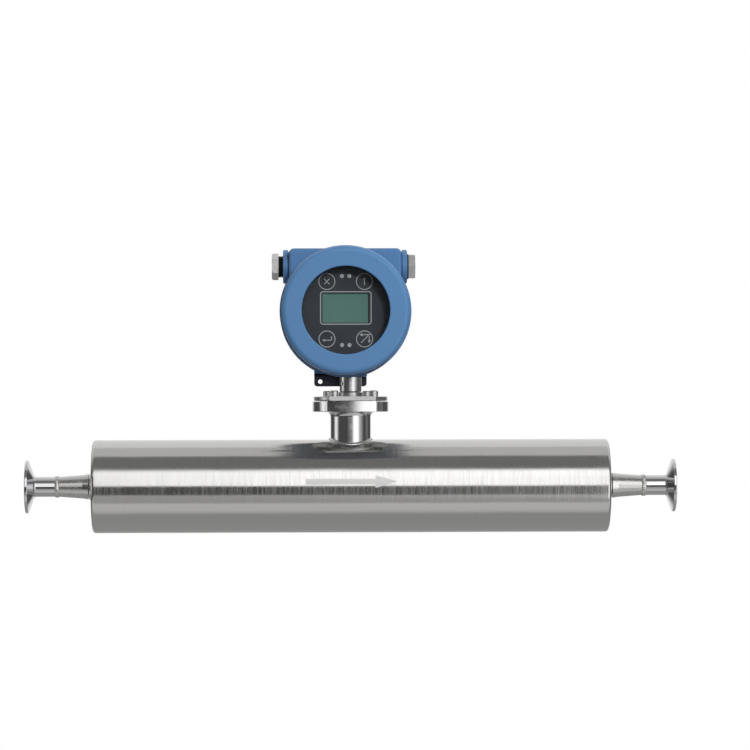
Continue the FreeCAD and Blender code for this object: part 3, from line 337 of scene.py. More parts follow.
def grown(name, base, tree, material, smooth=40.0, **values):
    """Runs a tree on a base mesh with these input values, and keeps what it makes as a plain piece."""
    piece = new_object(name, base)
    growth = piece.modifiers.new(tree.name, "NODES")
    growth.node_group = tree
    named = {item.name: item.identifier for item in tree.interface.items_tree if item.in_out == "INPUT"}
    for label, value in spaced({**values, "Finish": material}).items():
        growth[named[label]] = value
    bpy.context.view_layer.update()
    ready = piece.evaluated_get(bpy.context.evaluated_depsgraph_get())
    made = bpy.data.meshes.new_from_object(ready)
    piece.modifiers.clear()
    piece.data = made
    made.name = name
    turned_out = bmesh.new()
    turned_out.from_mesh(made)
    bmesh.ops.remove_doubles(turned_out, verts=turned_out.verts, dist=1e-6)
    bmesh.ops.recalc_face_normals(turned_out, faces=turned_out.faces)
    turned_out.to_mesh(made)
    turned_out.free()
    made.shade_smooth()
    made.set_sharp_from_angle(angle=math.radians(smooth))
    return piece


def round_angles(count):
    """The angles of this many even steps round a circle."""
    return [2.0 * math.pi * i / count for i in range(count)]


def weld_path(name, points, outward):
    """A closed loop of edges for the torch to follow, with the way that the bead bulges at each point."""
    path = bpy.data.meshes.new(name)
    count = len(points)
    path.from_pydata(points, [(i, (i + 1) % count) for i in range(count)], [])
    ways = path.attributes.new("outward", "FLOAT_VECTOR", "POINT")
    ways.data.foreach_set("vector", [c for way in outward for c in way])
    return path


def captured(tree, shape, name, value):
    """Notes a value down on each point of a curve, and gives the curve and the noted value."""
    made = put(tree, "GeometryNodeCaptureAttribute", {0: shape}, domain="POINT")
    made.capture_items.new("FLOAT", name)
    tree.links.new(value, made.inputs[1])
    return made.outputs[0], made.outputs[1]


steps_per_scale, pool_sides, scale_lag = 8.0, 20, 0.7
bead_tree, bead_in, bead_out = new_growth("Weld bead along a path", {
    "Width": "Float", "Rise": "Float", "Scale length": "Float", "Scale depth": "Float", "Finish": "Material"})
line = put(bead_tree, "GeometryNodeMeshToCurve", {0: bead_in["Geometry"]}).outputs[0]
step = sums(bead_tree, "DIVIDE", bead_in["Scale length"], steps_per_scale)
line = put(bead_tree, "GeometryNodeResampleCurve", {"Curve": line, "Length": step}, mode="LENGTH").outputs[0]
outward = put(bead_tree, "GeometryNodeInputNamedAttribute", {"Name": "outward"}, data_type="FLOAT_VECTOR")
line = put(bead_tree, "GeometryNodeSetCurveNormal", {
    "Curve": line, "Normal": outward.outputs[0]}, mode="FREE").outputs[0]
line, along = captured(
    bead_tree, line, "along", put(bead_tree, "GeometryNodeSplineParameter").outputs["Length"])
pool = put(bead_tree, "GeometryNodeCurvePrimitiveCircle", {
    "Resolution": pool_sides, "Radius": 1.0}, mode="RADIUS").outputs[0]
spot = put(bead_tree, "ShaderNodeSeparateXYZ", {0: put(bead_tree, "GeometryNodeInputPosition").outputs[0]})
pool, across = captured(bead_tree, pool, "across", spot.outputs["Y"])
shape = put(bead_tree, "ShaderNodeCombineXYZ", {
    "X": bead_in["Rise"], "Y": sums(bead_tree, "DIVIDE", bead_in["Width"], 2.0), "Z": 1.0}).outputs[0]
pool = put(bead_tree, "GeometryNodeTransform", {"Geometry": pool, "Scale": shape}).outputs[0]
ring = put(bead_tree, "GeometryNodeCurveToMesh", {"Curve": line, "Profile Curve": pool}).outputs[0]
# The scales are crescents: each lags behind the middle of the bead towards its two sides.
lag = sums(bead_tree, "MULTIPLY", sums(bead_tree, "MULTIPLY", across, across), scale_lag)
turns = sums(bead_tree, "ADD", sums(bead_tree, "DIVIDE", along, bead_in["Scale length"]), lag)
wave = sums(bead_tree, "SINE", sums(bead_tree, "MULTIPLY", turns, 2.0 * math.pi))
push = put(bead_tree, "ShaderNodeVectorMath", {
    0: put(bead_tree, "GeometryNodeInputNormal").outputs[0],
    "Scale": sums(bead_tree, "MULTIPLY", wave, bead_in["Scale depth"])}, operation="SCALE")
ring = put(bead_tree, "GeometryNodeSetPosition", {"Geometry": ring, "Offset": push.outputs[0]}).outputs[0]
ring = put(bead_tree, "GeometryNodeRealizeInstances", {"Geometry": ring}).outputs[0]
ring = put(bead_tree, "GeometryNodeSetMaterial", {"Geometry": ring, "Material": bead_in["Finish"]}).outputs[0]
bead_tree.links.new(ring, bead_out[0])

# Middle of each bead on the line, the radius it lies on, its width and rise, how many scales it has
# and how deep they are.
butt_joints = {
    "inlet_ferrule_weld": (0.030, 0.0095, 0.0042, 0.0007, 44, 0.00009),
    "outlet_ferrule_weld": (0.590, 0.0095, 0.0042, 0.0007, 44, 0.00012),
    "inlet_case_weld": (0.0625, 0.0121, 0.0034, 0.0005, 56, 0.00004),
    "outlet_case_weld": (0.5575, 0.0121, 0.0034, 0.0005, 56, 0.00004),
}
ways = [(0.0, math.cos(a), math.sin(a)) for a in round_angles(180)]
for node, (middle, radius, width, rise, scales, depth) in butt_joints.items():
    path = weld_path(node, [(middle, radius * y, radius * z) for _, y, z in ways], ways)
    bead = grown(node + "_bead", path, bead_tree, bead_steel, Width=width, Rise=rise,
                 Scale_length=2.0 * math.pi * radius / scales, Scale_depth=depth)
    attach(bead, "sensor")
    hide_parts(node)


# ------------------------------------------------
# Reducers: turned and acid-dulled, so they are satin with a mottled surface that the dressing wheel
# has left in patches near the case.
# ------------------------------------------------


def tinted(tree, shader, share, none, full):
    """Colours a finish between these two, by a share of the second that changes over it."""
    tree.links.new(mixed_colour(tree, share, none, full), shader.inputs["Base Color"])


satin, tree, shader, place = new_finish("satin_steel", (0.56, 0.555, 0.55), 1.0, 0.26)
mottle = smudged(tree, shader, place, clouds=130.0, clean=0.19, dull=0.32)
tinted(tree, shader, mottle, (0.50, 0.495, 0.49), (0.66, 0.655, 0.645))
grained(tree, shader, place, lines=(1800.0, 90.0, 90.0), depth=8e-7)
give(satin, "inlet_reducer", "outlet_reducer")


# ------------------------------------------------
# The case: a stainless tube of 89 mm with a turned cap welded into each end. The two seams are
# ground flush and the whole case is belt-ground round the tube, so its grain runs round it.
# ------------------------------------------------
case_start, case_end = 0.064, 0.556
case_radius, case_wall = 0.04445, 0.002
cap_corner, cap_plate, line_bore = 0.003, 0.005, 0.008
flat_rim, skin_rim = 0.0004, 0.0006


def corner(along, out, radius, first, last, steps=8):
    """Points of a rounded corner in a turned outline, as distance along the axis and radius."""
    angles = [math.radians(first + (last - first) * i / steps) for i in range(steps + 1)]
    return [(along + radius * math.cos(a), out + radius * math.sin(a)) for a in angles]


def new_piece(made, name, material, smooth=30.0):
    """Makes a mesh a piece, smooth where its faces meet at less than this many degrees."""
    bmesh.ops.recalc_face_normals(made, faces=made.faces)
    data = bpy.data.meshes.new(name)
    made.to_mesh(data)
    made.free()
    data.materials.append(material)
    data.shade_smooth()
    data.set_sharp_from_angle(angle=math.radians(smooth))
    return new_object(name, data)


def turned(outline, steps):
    """A closed outline of distances along the X axis and radii, turned round that axis."""
    made = bmesh.new()
    rings = [[made.verts.new((along, out * math.cos(a), out * math.sin(a))) for along, out in outline]
             for a in round_angles(steps)]
    for i, ring in enumerate(rings):
        after = rings[(i + 1) % steps]
        for j in range(len(outline)):
            k = (j + 1) % len(outline)
            made.faces.new((ring[j], ring[k], after[k], after[j]))
    return made


# A narrow ring of faces beside each rounded corner keeps the shading of the flat and the tube even.
near, far = case_start + cap_corner, case_end - cap_corner
shoulder = case_radius - cap_corner
inside = case_radius - case_wall
case_outline = [
    (case_start, line_bore), (case_start, shoulder - flat_rim), *corner(near, shoulder, cap_corner, 180.0, 90.0),
    (near + skin_rim, case_radius), (far - skin_rim, case_radius), *corner(far, shoulder, cap_corner, 90.0, 0.0),
    (case_end, shoulder - flat_rim), (case_end, line_bore), (case_end - cap_plate, line_bore),
    (case_end - cap_plate, inside), (case_start + cap_plate, inside), (case_start + cap_plate, line_bore)]
case_steel, tree, shader, place = new_finish("case_steel", (0.58, 0.575, 0.565), 1.0, 0.2, Anisotropic=0.7,
                                             Anisotropic_Rotation=0.25)
tree.links.new(put(tree, "ShaderNodeTangent", direction_type="RADIAL", axis="X").outputs[0],
               shader.inputs["Tangent"])
# The grain counts up along the tube, and from the middle outwards on the turned faces of the caps.
spot = put(tree, "ShaderNodeSeparateXYZ", {0: place}).outputs
off_line = put(tree, "ShaderNodeVectorMath", {0: place, 1: (0.0, 1.0, 1.0)}, operation="MULTIPLY").outputs[0]
from_line = put(tree, "ShaderNodeVectorMath", {0: off_line}, operation="LENGTH").outputs["Value"]
along_skin = put(tree, "ShaderNodeCombineXYZ", {
    "X": sums(tree, "ADD", spot["X"], from_line), "Y": spot["Y"], "Z": spot["Z"]})
belt = place_group(tree, grain_tree, Place=along_skin.outputs[0], Lines_per_metre=(1900.0, 55.0, 55.0))
ground = spread(tree, belt["Grain"], 0.40, 0.72, 0.12, 0.275)
worn = spread(tree, belt["Bands"], 0.42, 0.68, 0.0, 0.025)
# The dressing of the two seams leaves the ends of the case a little duller.
from_middle = sums(tree, "ABSOLUTE", sums(tree, "SUBTRACT", spot["X"], (case_start + case_end) / 2.0))
from_end = sums(tree, "SUBTRACT", (case_end - case_start) / 2.0, from_middle)
dressed = spread(tree, from_end, 0.008, 0.014, 0.03, 0.0, smooth=True)
tree.links.new(sums(tree, "ADD", sums(tree, "ADD", ground, worn), dressed), shader.inputs["Roughness"])
# The rolled tube is never quite round: long shallow waves sway the reflections.
drawn_out = put(tree, "ShaderNodeMapping", {"Vector": place, "Scale": (0.45, 1.0, 1.0)}).outputs[0]
swell = bumpy(tree, shader, noise(tree, drawn_out, 26.0, 2.0), 0.0003)
bumpy(tree, shader, belt["Grain"], 5e-7, under=swell)
case = new_piece(turned(case_outline, 256), "case", case_steel)
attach(case, "sensor")
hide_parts("case_tube", "inlet_end_cap", "outlet_end_cap")

# The flow arrow is etched on the front of the case by laser, which frosts the steel.
arrow_start, arrow_head, arrow_tip = 0.2670, 0.3329, 0.3539
arrow_middle, arrow_half_shaft, arrow_half_head = math.radians(6.15), math.radians(3.35), math.radians(7.8)
etched_radius, sunk_radius = case_radius + 0.00004, case_radius - 0.0003
etched, tree, shader, place = new_finish("etched_steel", (0.72, 0.72, 0.71), 0.6, 0.5)
hatch = put(tree, "ShaderNodeTexWave", {"Vector": place, "Scale": 420.0, "Distortion": 0.6, "Detail": 1.0},
            wave_type="BANDS", bands_direction="X")
tinted(tree, shader, hatch.outputs[1], (0.66, 0.66, 0.655), (0.78, 0.78, 0.77))
arrow = bmesh.new()
etched_corners, etched_rim = {}, {}


def etched_corner(x, turn):
    """A corner of the arrow with its point on the skin and the one below it. Faces share their corners."""
    key = (round(x, 5), round(turn, 5))
    if key not in etched_corners:
        top = arrow.verts.new((x, -etched_radius * math.cos(turn), etched_radius * math.sin(turn)))
        sink = sunk_radius / etched_radius
        etched_corners[key] = (top, arrow.verts.new((x, top.co.y * sink, top.co.z * sink)))
    return key


def etched_face(places):
    """A patch of the arrow and the one below it. Its edges that no other patch has make the arrow's rim."""
    keys = list(dict.fromkeys(etched_corner(*place) for place in places))
    for layer in (0, 1):
        arrow.faces.new([etched_corners[key][layer] for key in keys])
    for one, other in zip(keys, keys[1:] + keys[:1]):
        if (other, one) in etched_rim:
            del etched_rim[(other, one)]
        else:
            etched_rim[(one, other)] = [*etched_corners[one], *reversed(etched_corners[other])]


# The head's lower half, the shaft with the middle of the head, and the head's upper half.
strips = [(-arrow_half_head, -arrow_half_shaft, [arrow_head]),
          (-arrow_half_shaft, arrow_half_shaft, [arrow_start, arrow_head]),
          (arrow_half_shaft, arrow_half_head, [arrow_head])]
strip_steps = 12
for low, high, columns in strips:
    rows = []
    for i in range(strip_steps + 1):
        level = low + (high - low) * i / strip_steps
        tip = arrow_tip - (arrow_tip - arrow_head) * abs(level) / arrow_half_head
        rows.append([(x, arrow_middle + level) for x in (*columns, tip)])
    for lower, upper in zip(rows, rows[1:]):
        for j in range(len(columns)):
            etched_face([lower[j], lower[j + 1], upper[j + 1], upper[j]])
for wall in etched_rim.values():
    arrow.faces.new(wall)
flow_arrow = new_piece(arrow, "flow_arrow", etched)
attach(flow_arrow, "sensor")


# ------------------------------------------------
# The neck with its flange, the adapter plate and the stem: turned from bar and polished by hand,
# so their flats are a little crowned. The neck stands in a fillet weld that follows the case.
# ------------------------------------------------
neck_axis, neck_radius = 0.310, 0.0194
fillet_out, fillet_up, neck_scales = 0.00077, 0.00055, 110
flange_low, flat_reach, flat_lean, flat_crown = 0.0709, 0.0242, 0.0045, 4.4
neck_polish, tree, shader, place = new_finish("neck_polish", (0.60, 0.60, 0.605), 1.0, 0.12)
smudged(tree, shader, place, clouds=90.0, clean=0.08, dull=0.16)
from_neck = put(tree, "ShaderNodeMapping", {"Vector": place, "Location": (-neck_axis, 0.0, 0.0)}).outputs[0]
spot = put(tree, "ShaderNodeSeparateXYZ", {0: from_neck}).outputs
on_flat = put(tree, "ShaderNodeClamp", {"Value": spot["X"], "Min": -flat_reach, "Max": flat_reach}).outputs[0]
leaning = sums(tree, "MULTIPLY", spot["Z"], flat_lean)
fall = sums(tree, "SUBTRACT", sums(tree, "MULTIPLY", on_flat, on_flat), leaning)
fall = sums(tree, "MULTIPLY", fall, sums(tree, "GREATER_THAN", spot["Z"], flange_low))
crown = bumpy(tree, shader, sums(tree, "MULTIPLY", fall, -1.0), flat_crown)
lathe = place_group(tree, grain_tree, Place=place, Lines_per_metre=(30.0, 30.0, 2600.0))
bumpy(tree, shader, lathe["Grain"], 5e-7, under=crown)
give(neck_polish, "neck_flange")

plate_steel, tree, shader, place = new_finish("plate_steel", (0.52, 0.52, 0.525), 1.0, 0.32)
smudged(tree, shader, place, clouds=160.0, clean=0.26, dull=0.4)
grained(tree, shader, place, lines=(30.0, 30.0, 1500.0), depth=2e-6)
give(plate_steel, "adapter_plate")

stem_steel, tree, shader, place = new_finish("stem_steel", (0.56, 0.56, 0.56), 1.0, 0.22)
brushed = grained(tree, shader, place, lines=(700.0, 700.0, 60.0), depth=3e-6)
tree.links.new(spread(tree, brushed, 0.3, 0.7, 0.16, 0.34), shader.inputs["Roughness"])
give(stem_steel, "stem", "feedthrough", "stem_set_screw")

saddle, ways = [], []
for a in round_angles(240):
    x, y = math.cos(a), math.sin(a)
    reach = neck_radius + fillet_out
    foot = math.sqrt(case_radius ** 2 - (reach * y) ** 2)
    up = Vector((0.0, reach * y / case_radius, foot / case_radius))
    saddle.append((neck_axis + reach * x, reach * y, foot + fillet_up))
    ways.append(tuple((Vector((x, y, 0.0)) + up).normalized()))
length = sum((Vector(a) - Vector(b)).length for a, b in zip(saddle, saddle[1:] + saddle[:1]))
neck_bead = grown("neck_weld_bead", weld_path("neck_weld", saddle, ways), bead_tree, bead_steel,
                  Width=0.0030, Rise=0.0006, Scale_length=length / neck_scales, Scale_depth=0.00004)
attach(neck_bead, "sensor")
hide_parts("neck_weld")


# ------------------------------------------------
# Four socket head screws hold the adapter plate, each on a plain washer. Their heads are knurled
# and chamfered, with a hexagon socket, and the bright steel is dulled by handling.
# ------------------------------------------------
screw_steel, tree, shader, place = new_finish("screw_steel", (0.60, 0.60, 0.605), 1.0, 0.24)
smudged(tree, shader, place, clouds=600.0, clean=0.16, dull=0.36)
give(screw_steel, "flange_washers", "bracket_screws", "terminal_screws", "earth_screw", "board_standoffs",
     "terminal_posts")
head_radius, head_height, head_edge = 0.00425, 0.005, 0.0002
shank_radius, shank_length, shank_edge = 0.0025, 0.0115, 0.0005
socket_across, socket_depth, socket_edge = 0.004, 0.0025, 0.0003
knurls, knurl_depth, knurl_end = 36, 0.00009, 0.0007
# The head's rounded rim: how far each ring lies under the top and inside the side.
rim_rings = [(0.0005, 0.0002), (0.0002, 0.0004), (0.0, 0.0008)]


def knurled_screw():
    """One socket head screw, its head standing on the level z = 0 and its shank below it."""
    made = bmesh.new()
    count = knurls * 2
    angles = round_angles(count)

    def loop(height, radii):
        return [made.verts.new((r * math.cos(a), r * math.sin(a), height)) for r, a in zip(radii, angles)]

    def ring(height, radius, ridge=0.0):
        return loop(height, [radius - ridge * (i % 2) for i in range(count)])

    def hexagon(height, across):
        sixth = math.pi / 3.0
        return loop(height, [across / 2.0 / math.cos((a + sixth / 2.0) % sixth - sixth / 2.0) for a in angles])

    loops = [ring(-shank_length, shank_radius - shank_edge), ring(-shank_length + shank_edge, shank_radius),
             ring(0.0, shank_radius), ring(0.0, head_radius - head_edge),
             ring(head_edge, head_radius, knurl_depth), ring(head_height - knurl_end, head_radius, knurl_depth),
             *(ring(head_height - drop, head_radius - inset) for drop, inset in rim_rings),
             hexagon(head_height, socket_across + socket_edge), hexagon(head_height - head_edge, socket_across),
             hexagon(head_height - socket_depth, socket_across)]
    for lower, upper in zip(loops, loops[1:]):
        for i in range(count):
            made.faces.new((lower[i], lower[(i + 1) % count], upper[(i + 1) % count], upper[i]))
    for end in (loops[0], loops[-1]):
        middle = made.verts.new(sum((v.co for v in end), Vector()) / count)
        for i in range(count):
            made.faces.new((end[i], end[(i + 1) % count], middle))
    bmesh.ops.recalc_face_normals(made, faces=made.faces)
    data = bpy.data.meshes.new("one_screw")
    made.to_mesh(data)
    made.free()
    return bpy.data.objects.new("one_screw", data)


screw_tree, screw_in, screw_out = new_growth("Screws on a bolt circle", {
    "Count": "Int", "Circle radius": "Float", "First turn": "Float", "Centre": "Vector", "Screw": "Object",
    "Finish": "Material"})
holes = put(screw_tree, "GeometryNodeMeshCircle", {
    "Vertices": screw_in["Count"], "Radius": screw_in["Circle radius"]}).outputs[0]
screw = put(screw_tree, "GeometryNodeObjectInfo", {"Object": screw_in["Screw"]}).outputs["Geometry"]
# Each screw ends its tightening at a turn of its own.
twist = put(screw_tree, "FunctionNodeRandomValue", {"Max": 1.0, "Seed": 7}, data_type="FLOAT").outputs[1]
twist = put(screw_tree, "ShaderNodeCombineXYZ", {"Z": sums(screw_tree, "MULTIPLY", twist, 6.0)}).outputs[0]
first_turn = put(screw_tree, "ShaderNodeCombineXYZ", {"Z": screw_in["First turn"]}).outputs[0]
screws = put(screw_tree, "GeometryNodeInstanceOnPoints", {
    "Points": holes, "Instance": screw, "Rotation": twist}).outputs[0]
screws = put(screw_tree, "GeometryNodeRealizeInstances", {"Geometry": screws}).outputs[0]
screws = put(screw_tree, "GeometryNodeTransform", {
    "Geometry": screws, "Translation": screw_in["Centre"], "Rotation": first_turn}).outputs[0]
screws = put(screw_tree, "GeometryNodeSetMaterial", {
    "Geometry": screws, "Material": screw_in["Finish"]}).outputs[0]
screw_tree.links.new(screws, screw_out[0])
washer_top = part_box("flange_washers")[1].z
one_screw = knurled_screw()
plate_screws = grown("plate_screws", bpy.data.meshes.new("bolt_circle"), screw_tree, screw_steel, 30.0, Count=4,
                     Circle_radius=0.027, First_turn=math.radians(54.0), Centre=(neck_axis, 0.0, washer_top),
                     Screw=one_screw)
bpy.data.objects.remove(one_screw)
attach(plate_screws, "sensor")
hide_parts("flange_screws")


# ------------------------------------------------
# The tag bracket: sheet steel, cut and bent once, with a hole for the wire of a tag. It is
# powder-coated in a blue that is nearly black, and two screws hold it under the head.
# ------------------------------------------------
# Powder coat flows into small hills before it sets, which is its orange peel, and is never quite even.
coat_tree, coat_in, coat_out = new_group(
    "Powder coat", {"Place": (0.0, 0.0, 0.0), "Hills per metre": 700.0, "Smooth": 0.34, "Matt": 0.46},
    ["Height", "Roughness", "Shade"])
speck_fineness, speck_share, clouds = 2.2, 0.4, 24.0
hills = noise(coat_tree, coat_in["Place"], coat_in["Hills per metre"], 2.0)
speck = put(coat_tree, "ShaderNodeTexVoronoi", {
    "Vector": coat_in["Place"],
    "Scale": sums(coat_tree, "MULTIPLY", coat_in["Hills per metre"], speck_fineness)},
    feature="SMOOTH_F1").outputs[0]
shade = noise(coat_tree, coat_in["Place"], clouds, 4.0)
peel = sums(coat_tree, "ADD", hills, sums(coat_tree, "MULTIPLY", speck, speck_share))
even = spread(coat_tree, shade, 0.3, 0.7, coat_in["Smooth"], coat_in["Matt"])
for label, value in {"Height": peel, "Roughness": even, "Shade": shade}.items():
    coat_tree.links.new(value, coat_out[label])


def powder_coat(name, thin, thick, depth, **sockets):
    """Powder coat between its thinner and thicker shade, with orange peel of this depth in metres, and painted
    grey where a mirror shows it.
    """
    material, tree, shader, place = new_finish(name, thick, 0.0, 0.4, IOR=1.5)
    coat = place_group(tree, coat_tree, Place=place, **sockets)
    # Seen in a mirror the coat is painted a near-grey instead of its blue: a painted reflection.
    painted_grey_in_mirrors = sums(tree, "MULTIPLY", put(tree, "ShaderNodeLightPath").outputs["Is Glossy Ray"], 0.85)
    tinted(tree, shader, painted_grey_in_mirrors, mixed_colour(tree, coat["Shade"], thin, thick), (0.42, 0.42, 0.42))
    tree.links.new(coat["Roughness"], shader.inputs["Roughness"])
    bumpy(tree, shader, coat["Height"], depth)
    return material


bracket_paint = powder_coat("bracket_paint", (0.012, 0.016, 0.036), (0.020, 0.026, 0.058), 0.00002,
                            Smooth=0.3, Matt=0.42)
give(bracket_paint, "tag_bracket")


# ------------------------------------------------
# The housing of the head, die-cast in aluminium, blasted and powder-coated blue, and its two
# covers, turned and coated in a lighter batch of the same blue.
# ------------------------------------------------
housing_paint = powder_coat("housing_paint", (0.070, 0.178, 0.372), (0.088, 0.215, 0.425), 0.00004,
                            Hills_per_metre=520.0, Smooth=0.36, Matt=0.5)
give(housing_paint, "housing")
cover_paint = powder_coat("cover_paint", (0.082, 0.212, 0.424), (0.096, 0.236, 0.462), 0.000025,
                          Hills_per_metre=640.0, Smooth=0.3, Matt=0.42)
give(cover_paint, "front_cover", "rear_cover")


# ------------------------------------------------
# The window: a flat pane of hardened glass in a black gasket, held by a threaded ring of dark
# anodised aluminium. Black seals of the same rubber lie in the covers, the cable entries and
# under the plate.
# ------------------------------------------------
# The pane is bloomed, so it hardly mirrors from the front, and its tint is uneven where it was wiped.
window_clear, tree, shader, place = new_finish(
    "window_clear", (1.0, 1.0, 1.0), 0.0, 0.0, Transmission_Weight=1.0, IOR=1.47,
    Specular_Tint=(0.0, 0.0, 0.0, 1.0))
wiped = place_group(tree, smudge_tree, Place=place, Clouds_per_metre=50.0)
tinted(tree, shader, wiped["Cloud"], (0.95, 0.96, 0.955), (1.0, 1.0, 1.0))
path = put(tree, "ShaderNodeLightPath").outputs
through = sums(tree, "MAXIMUM", path["Is Shadow Ray"], path["Is Diffuse Ray"])
mixed = put(tree, "ShaderNodeMixShader", {
    0: through, 1: shader.outputs[0], 2: put(tree, "ShaderNodeBsdfTransparent").outputs[0]})
tree.links.new(mixed.outputs[0], tree.nodes["Material Output"].inputs["Surface"])
give(window_clear, "window_glass")


def specked(tree, shader, place, specks, detail, none, full):
    """Colours a finish in this many specks per metre between these two, and gives the specks."""
    speck = noise(tree, place, specks, detail)
    tinted(tree, shader, speck, none, full)
    return speck


rubber, tree, shader, place = new_finish("black_rubber", (0.016, 0.016, 0.017), 0.0, 0.55)
bloom = specked(tree, shader, place, 350.0, 5.0, (0.010, 0.010, 0.011), (0.028, 0.028, 0.029))
bumpy(tree, shader, bloom, 0.00003)
give(rubber, "window_gasket", "flange_gasket", "cover_seals", "left_plug_seal", "right_plug_seal",
     "bulkhead_seal")

ring_metal, tree, shader, place = new_finish("ring_aluminium", (0.10, 0.10, 0.105), 1.0, 0.42)
grained(tree, shader, place, lines=(60.0, 2400.0, 60.0), depth=3e-6)
give(ring_metal, "window_retainer")


# ------------------------------------------------
# The front panel: a disc of charcoal plastic with a fine spark-eroded grain, and printed in light
# grey with the frame of the screen and the rings and signs of its four light-touch keys.
# ------------------------------------------------
panel_plastic, tree, shader, place = new_finish(
    "panel_plastic", (0.038, 0.044, 0.054), 0.0, 0.55, Specular_IOR_Level=0.35)
eroded = specked(tree, shader, place, 2600.0, 3.0, (0.033, 0.039, 0.049), (0.043, 0.049, 0.060))
bumpy(tree, shader, eroded, 0.00002)
give(panel_plastic, "display_panel")

head_x, head_z = 0.305, 0.166
panel_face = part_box("display_panel")[0].y
print_height, print_sink, mitre_limit = 0.00003, 0.0001, 0.4
print_ink, tree, shader, place = new_finish("print_ink", (0.46, 0.48, 0.49), 0.0, 0.5)
specked(tree, shader, place, 1500.0, 2.0, (0.27, 0.29, 0.30), (0.46, 0.48, 0.49))
printed = bmesh.new()


def printed_point(across, up, out):
    """A corner of the print, right of and above the head's centre and so far out of the panel."""
    return printed.verts.new((head_x + across, panel_face - out, head_z + up))


def printed_face(corners):
    """A thin printed patch on the panel with these corners."""
    top = [printed_point(*point, print_height) for point in corners]
    low = [printed_point(*point, -print_sink) for point in corners]
    printed.faces.new(top)
    printed.faces.new(low[::-1])
    for i in range(len(corners)):
        j = (i + 1) % len(corners)
        printed.faces.new((top[i], top[j], low[j], low[i]))


def printed_line(points, width, closed=False):
    """A printed line of even width along these points, as one closed band with mitred corners."""
    count = len(points)
    rows = []
    for i, point in enumerate(points):
        before = points[i - 1] if closed or i else point
        after = points[(i + 1) % count] if closed or i < count - 1 else point
        one = (Vector(point) - Vector(before)).normalized()
        two = (Vector(after) - Vector(point)).normalized()
        way = (one + two).normalized()
        half = Vector((-way.y, way.x)) * (width / 2.0 / max(mitre_limit, way.dot(two if two.length else one)))
        rows.append([printed_point(*side, out) for side in (Vector(point) + half, Vector(point) - half)
                     for out in (print_height, -print_sink)])
    for i in range(count if closed else count - 1):
        a, b = rows[i], rows[(i + 1) % count]
        for j, k in ((0, 2), (2, 3), (3, 1), (1, 0)):
            printed.faces.new((a[j], a[k], b[k], b[j]))
    if not closed:
        for row in (rows[0], rows[-1]):
            printed.faces.new((row[0], row[2], row[3], row[1]))


# The frame round the screen, by quarter turns from its upper right corner.
frame_left, frame_right, frame_low, frame_high = -0.0237, 0.0240, -0.0128, 0.0177
frame_corner, frame_line, corner_steps = 0.0024, 0.0009, 6
frame_points = []
for cx, cy, start in ((frame_right, frame_high, 0), (frame_left, frame_high, 90), (frame_left, frame_low, 180),
                      (frame_right, frame_low, 270)):
    mx, my = cx - math.copysign(frame_corner, cx), cy - math.copysign(frame_corner, cy)
    for i in range(corner_steps + 1):
        turn = math.radians(start + 90 / corner_steps * i)
        frame_points.append((mx + frame_corner * math.cos(turn), my + frame_corner * math.sin(turn)))
printed_line(frame_points, frame_line, closed=True)

# Each key's sign: its strokes, and where its arrow tips point in degrees.
signs = {
    "cross": ([[(-0.0026, -0.0026), (0.0026, 0.0026)], [(-0.0026, 0.0026), (-0.0003, 0.0003)],
               [(0.0003, -0.0003), (0.0026, -0.0026)]], []),
    "up": ([[(0.0, -0.0034), (0.0, 0.0016)]], [(0.0, 0.0040, 90)]),
    "enter": ([[(0.0044, 0.0026), (0.0044, -0.0002), (0.0034, -0.0012), (-0.0024, -0.0012)]],
              [(-0.0046, -0.0012, 180)]),
    "page": ([[(-0.0032, -0.0036), (0.0042, 0.0040)], [(-0.0022, 0.0040), (0.0052, 0.0040)],
              [(0.0044, 0.0026), (0.0044, -0.0014)]], [(-0.0048, 0.0040, 180), (0.0044, -0.0040, 270)]),
}
key_across, key_up, key_down = 0.0177, 0.0274, 0.0268
key_ring, key_line, sign_line = 0.00755, 0.00078, 0.00080
tip_length, tip_half = 0.0028, 0.0015
keys = {"cross": (-key_across, key_up), "up": (key_across, key_up), "enter": (-key_across, -key_down),
        "page": (key_across, -key_down)}
for sign, (u, v) in keys.items():
    printed_line([(u + key_ring * math.cos(a), v + key_ring * math.sin(a)) for a in round_angles(96)],
                 key_line, closed=True)
    strokes, tips = signs[sign]
    for stroke in strokes:
        printed_line([(u + a, v + b) for a, b in stroke], sign_line)
    for a, b, turn in tips:
        way = Vector((math.cos(math.radians(turn)), math.sin(math.radians(turn))))
        half = Vector((-way.y, way.x)) * tip_half
        tip = Vector((u + a, v + b))
        printed_face([tip, tip - way * tip_length + half, tip - way * tip_length - half])
panel_print = new_piece(printed, "panel_print", print_ink)
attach(panel_print, "head")

# The screen: grey-green liquid crystal behind a polariser. The black edge round the live field is partly the
# screen's own mask and partly painted shade of its recess at the right and top.
screen, tree, shader, place = new_finish("lcd_glass", (0.06, 0.14, 0.125), 0.0, 0.32)
live_field = {"X": (head_x - 0.0004, 0.0214), "Z": (head_z + 0.0022, 0.0135)}
cell, cell_gap = 0.00034, 0.00003
spot = put(tree, "ShaderNodeSeparateXYZ", {0: place}).outputs
inside_field = 1.0
for axis, (middle, half) in live_field.items():
    away = sums(tree, "ABSOLUTE", sums(tree, "SUBTRACT", spot[axis], middle))
    inside_field = sums(tree, "MULTIPLY", inside_field, sums(tree, "LESS_THAN", away, half))


def bricks(tree, place, one, other, joint, wide, high, gap, **fields):
    """A pattern of bricks on the faces that look to the front, in two colours and that of the joint."""
    upright = put(tree, "ShaderNodeMapping", {"Vector": place, "Rotation": (math.pi / 2.0, 0.0, 0.0)})
    return put(tree, "ShaderNodeTexBrick", {
        "Vector": upright.outputs[0], "Scale": 1.0, "Color1": (*one, 1.0), "Color2": (*other, 1.0),
        "Mortar": (*joint, 1.0), "Mortar Size": gap, "Brick Width": wide, "Row Height": high}, **fields).outputs


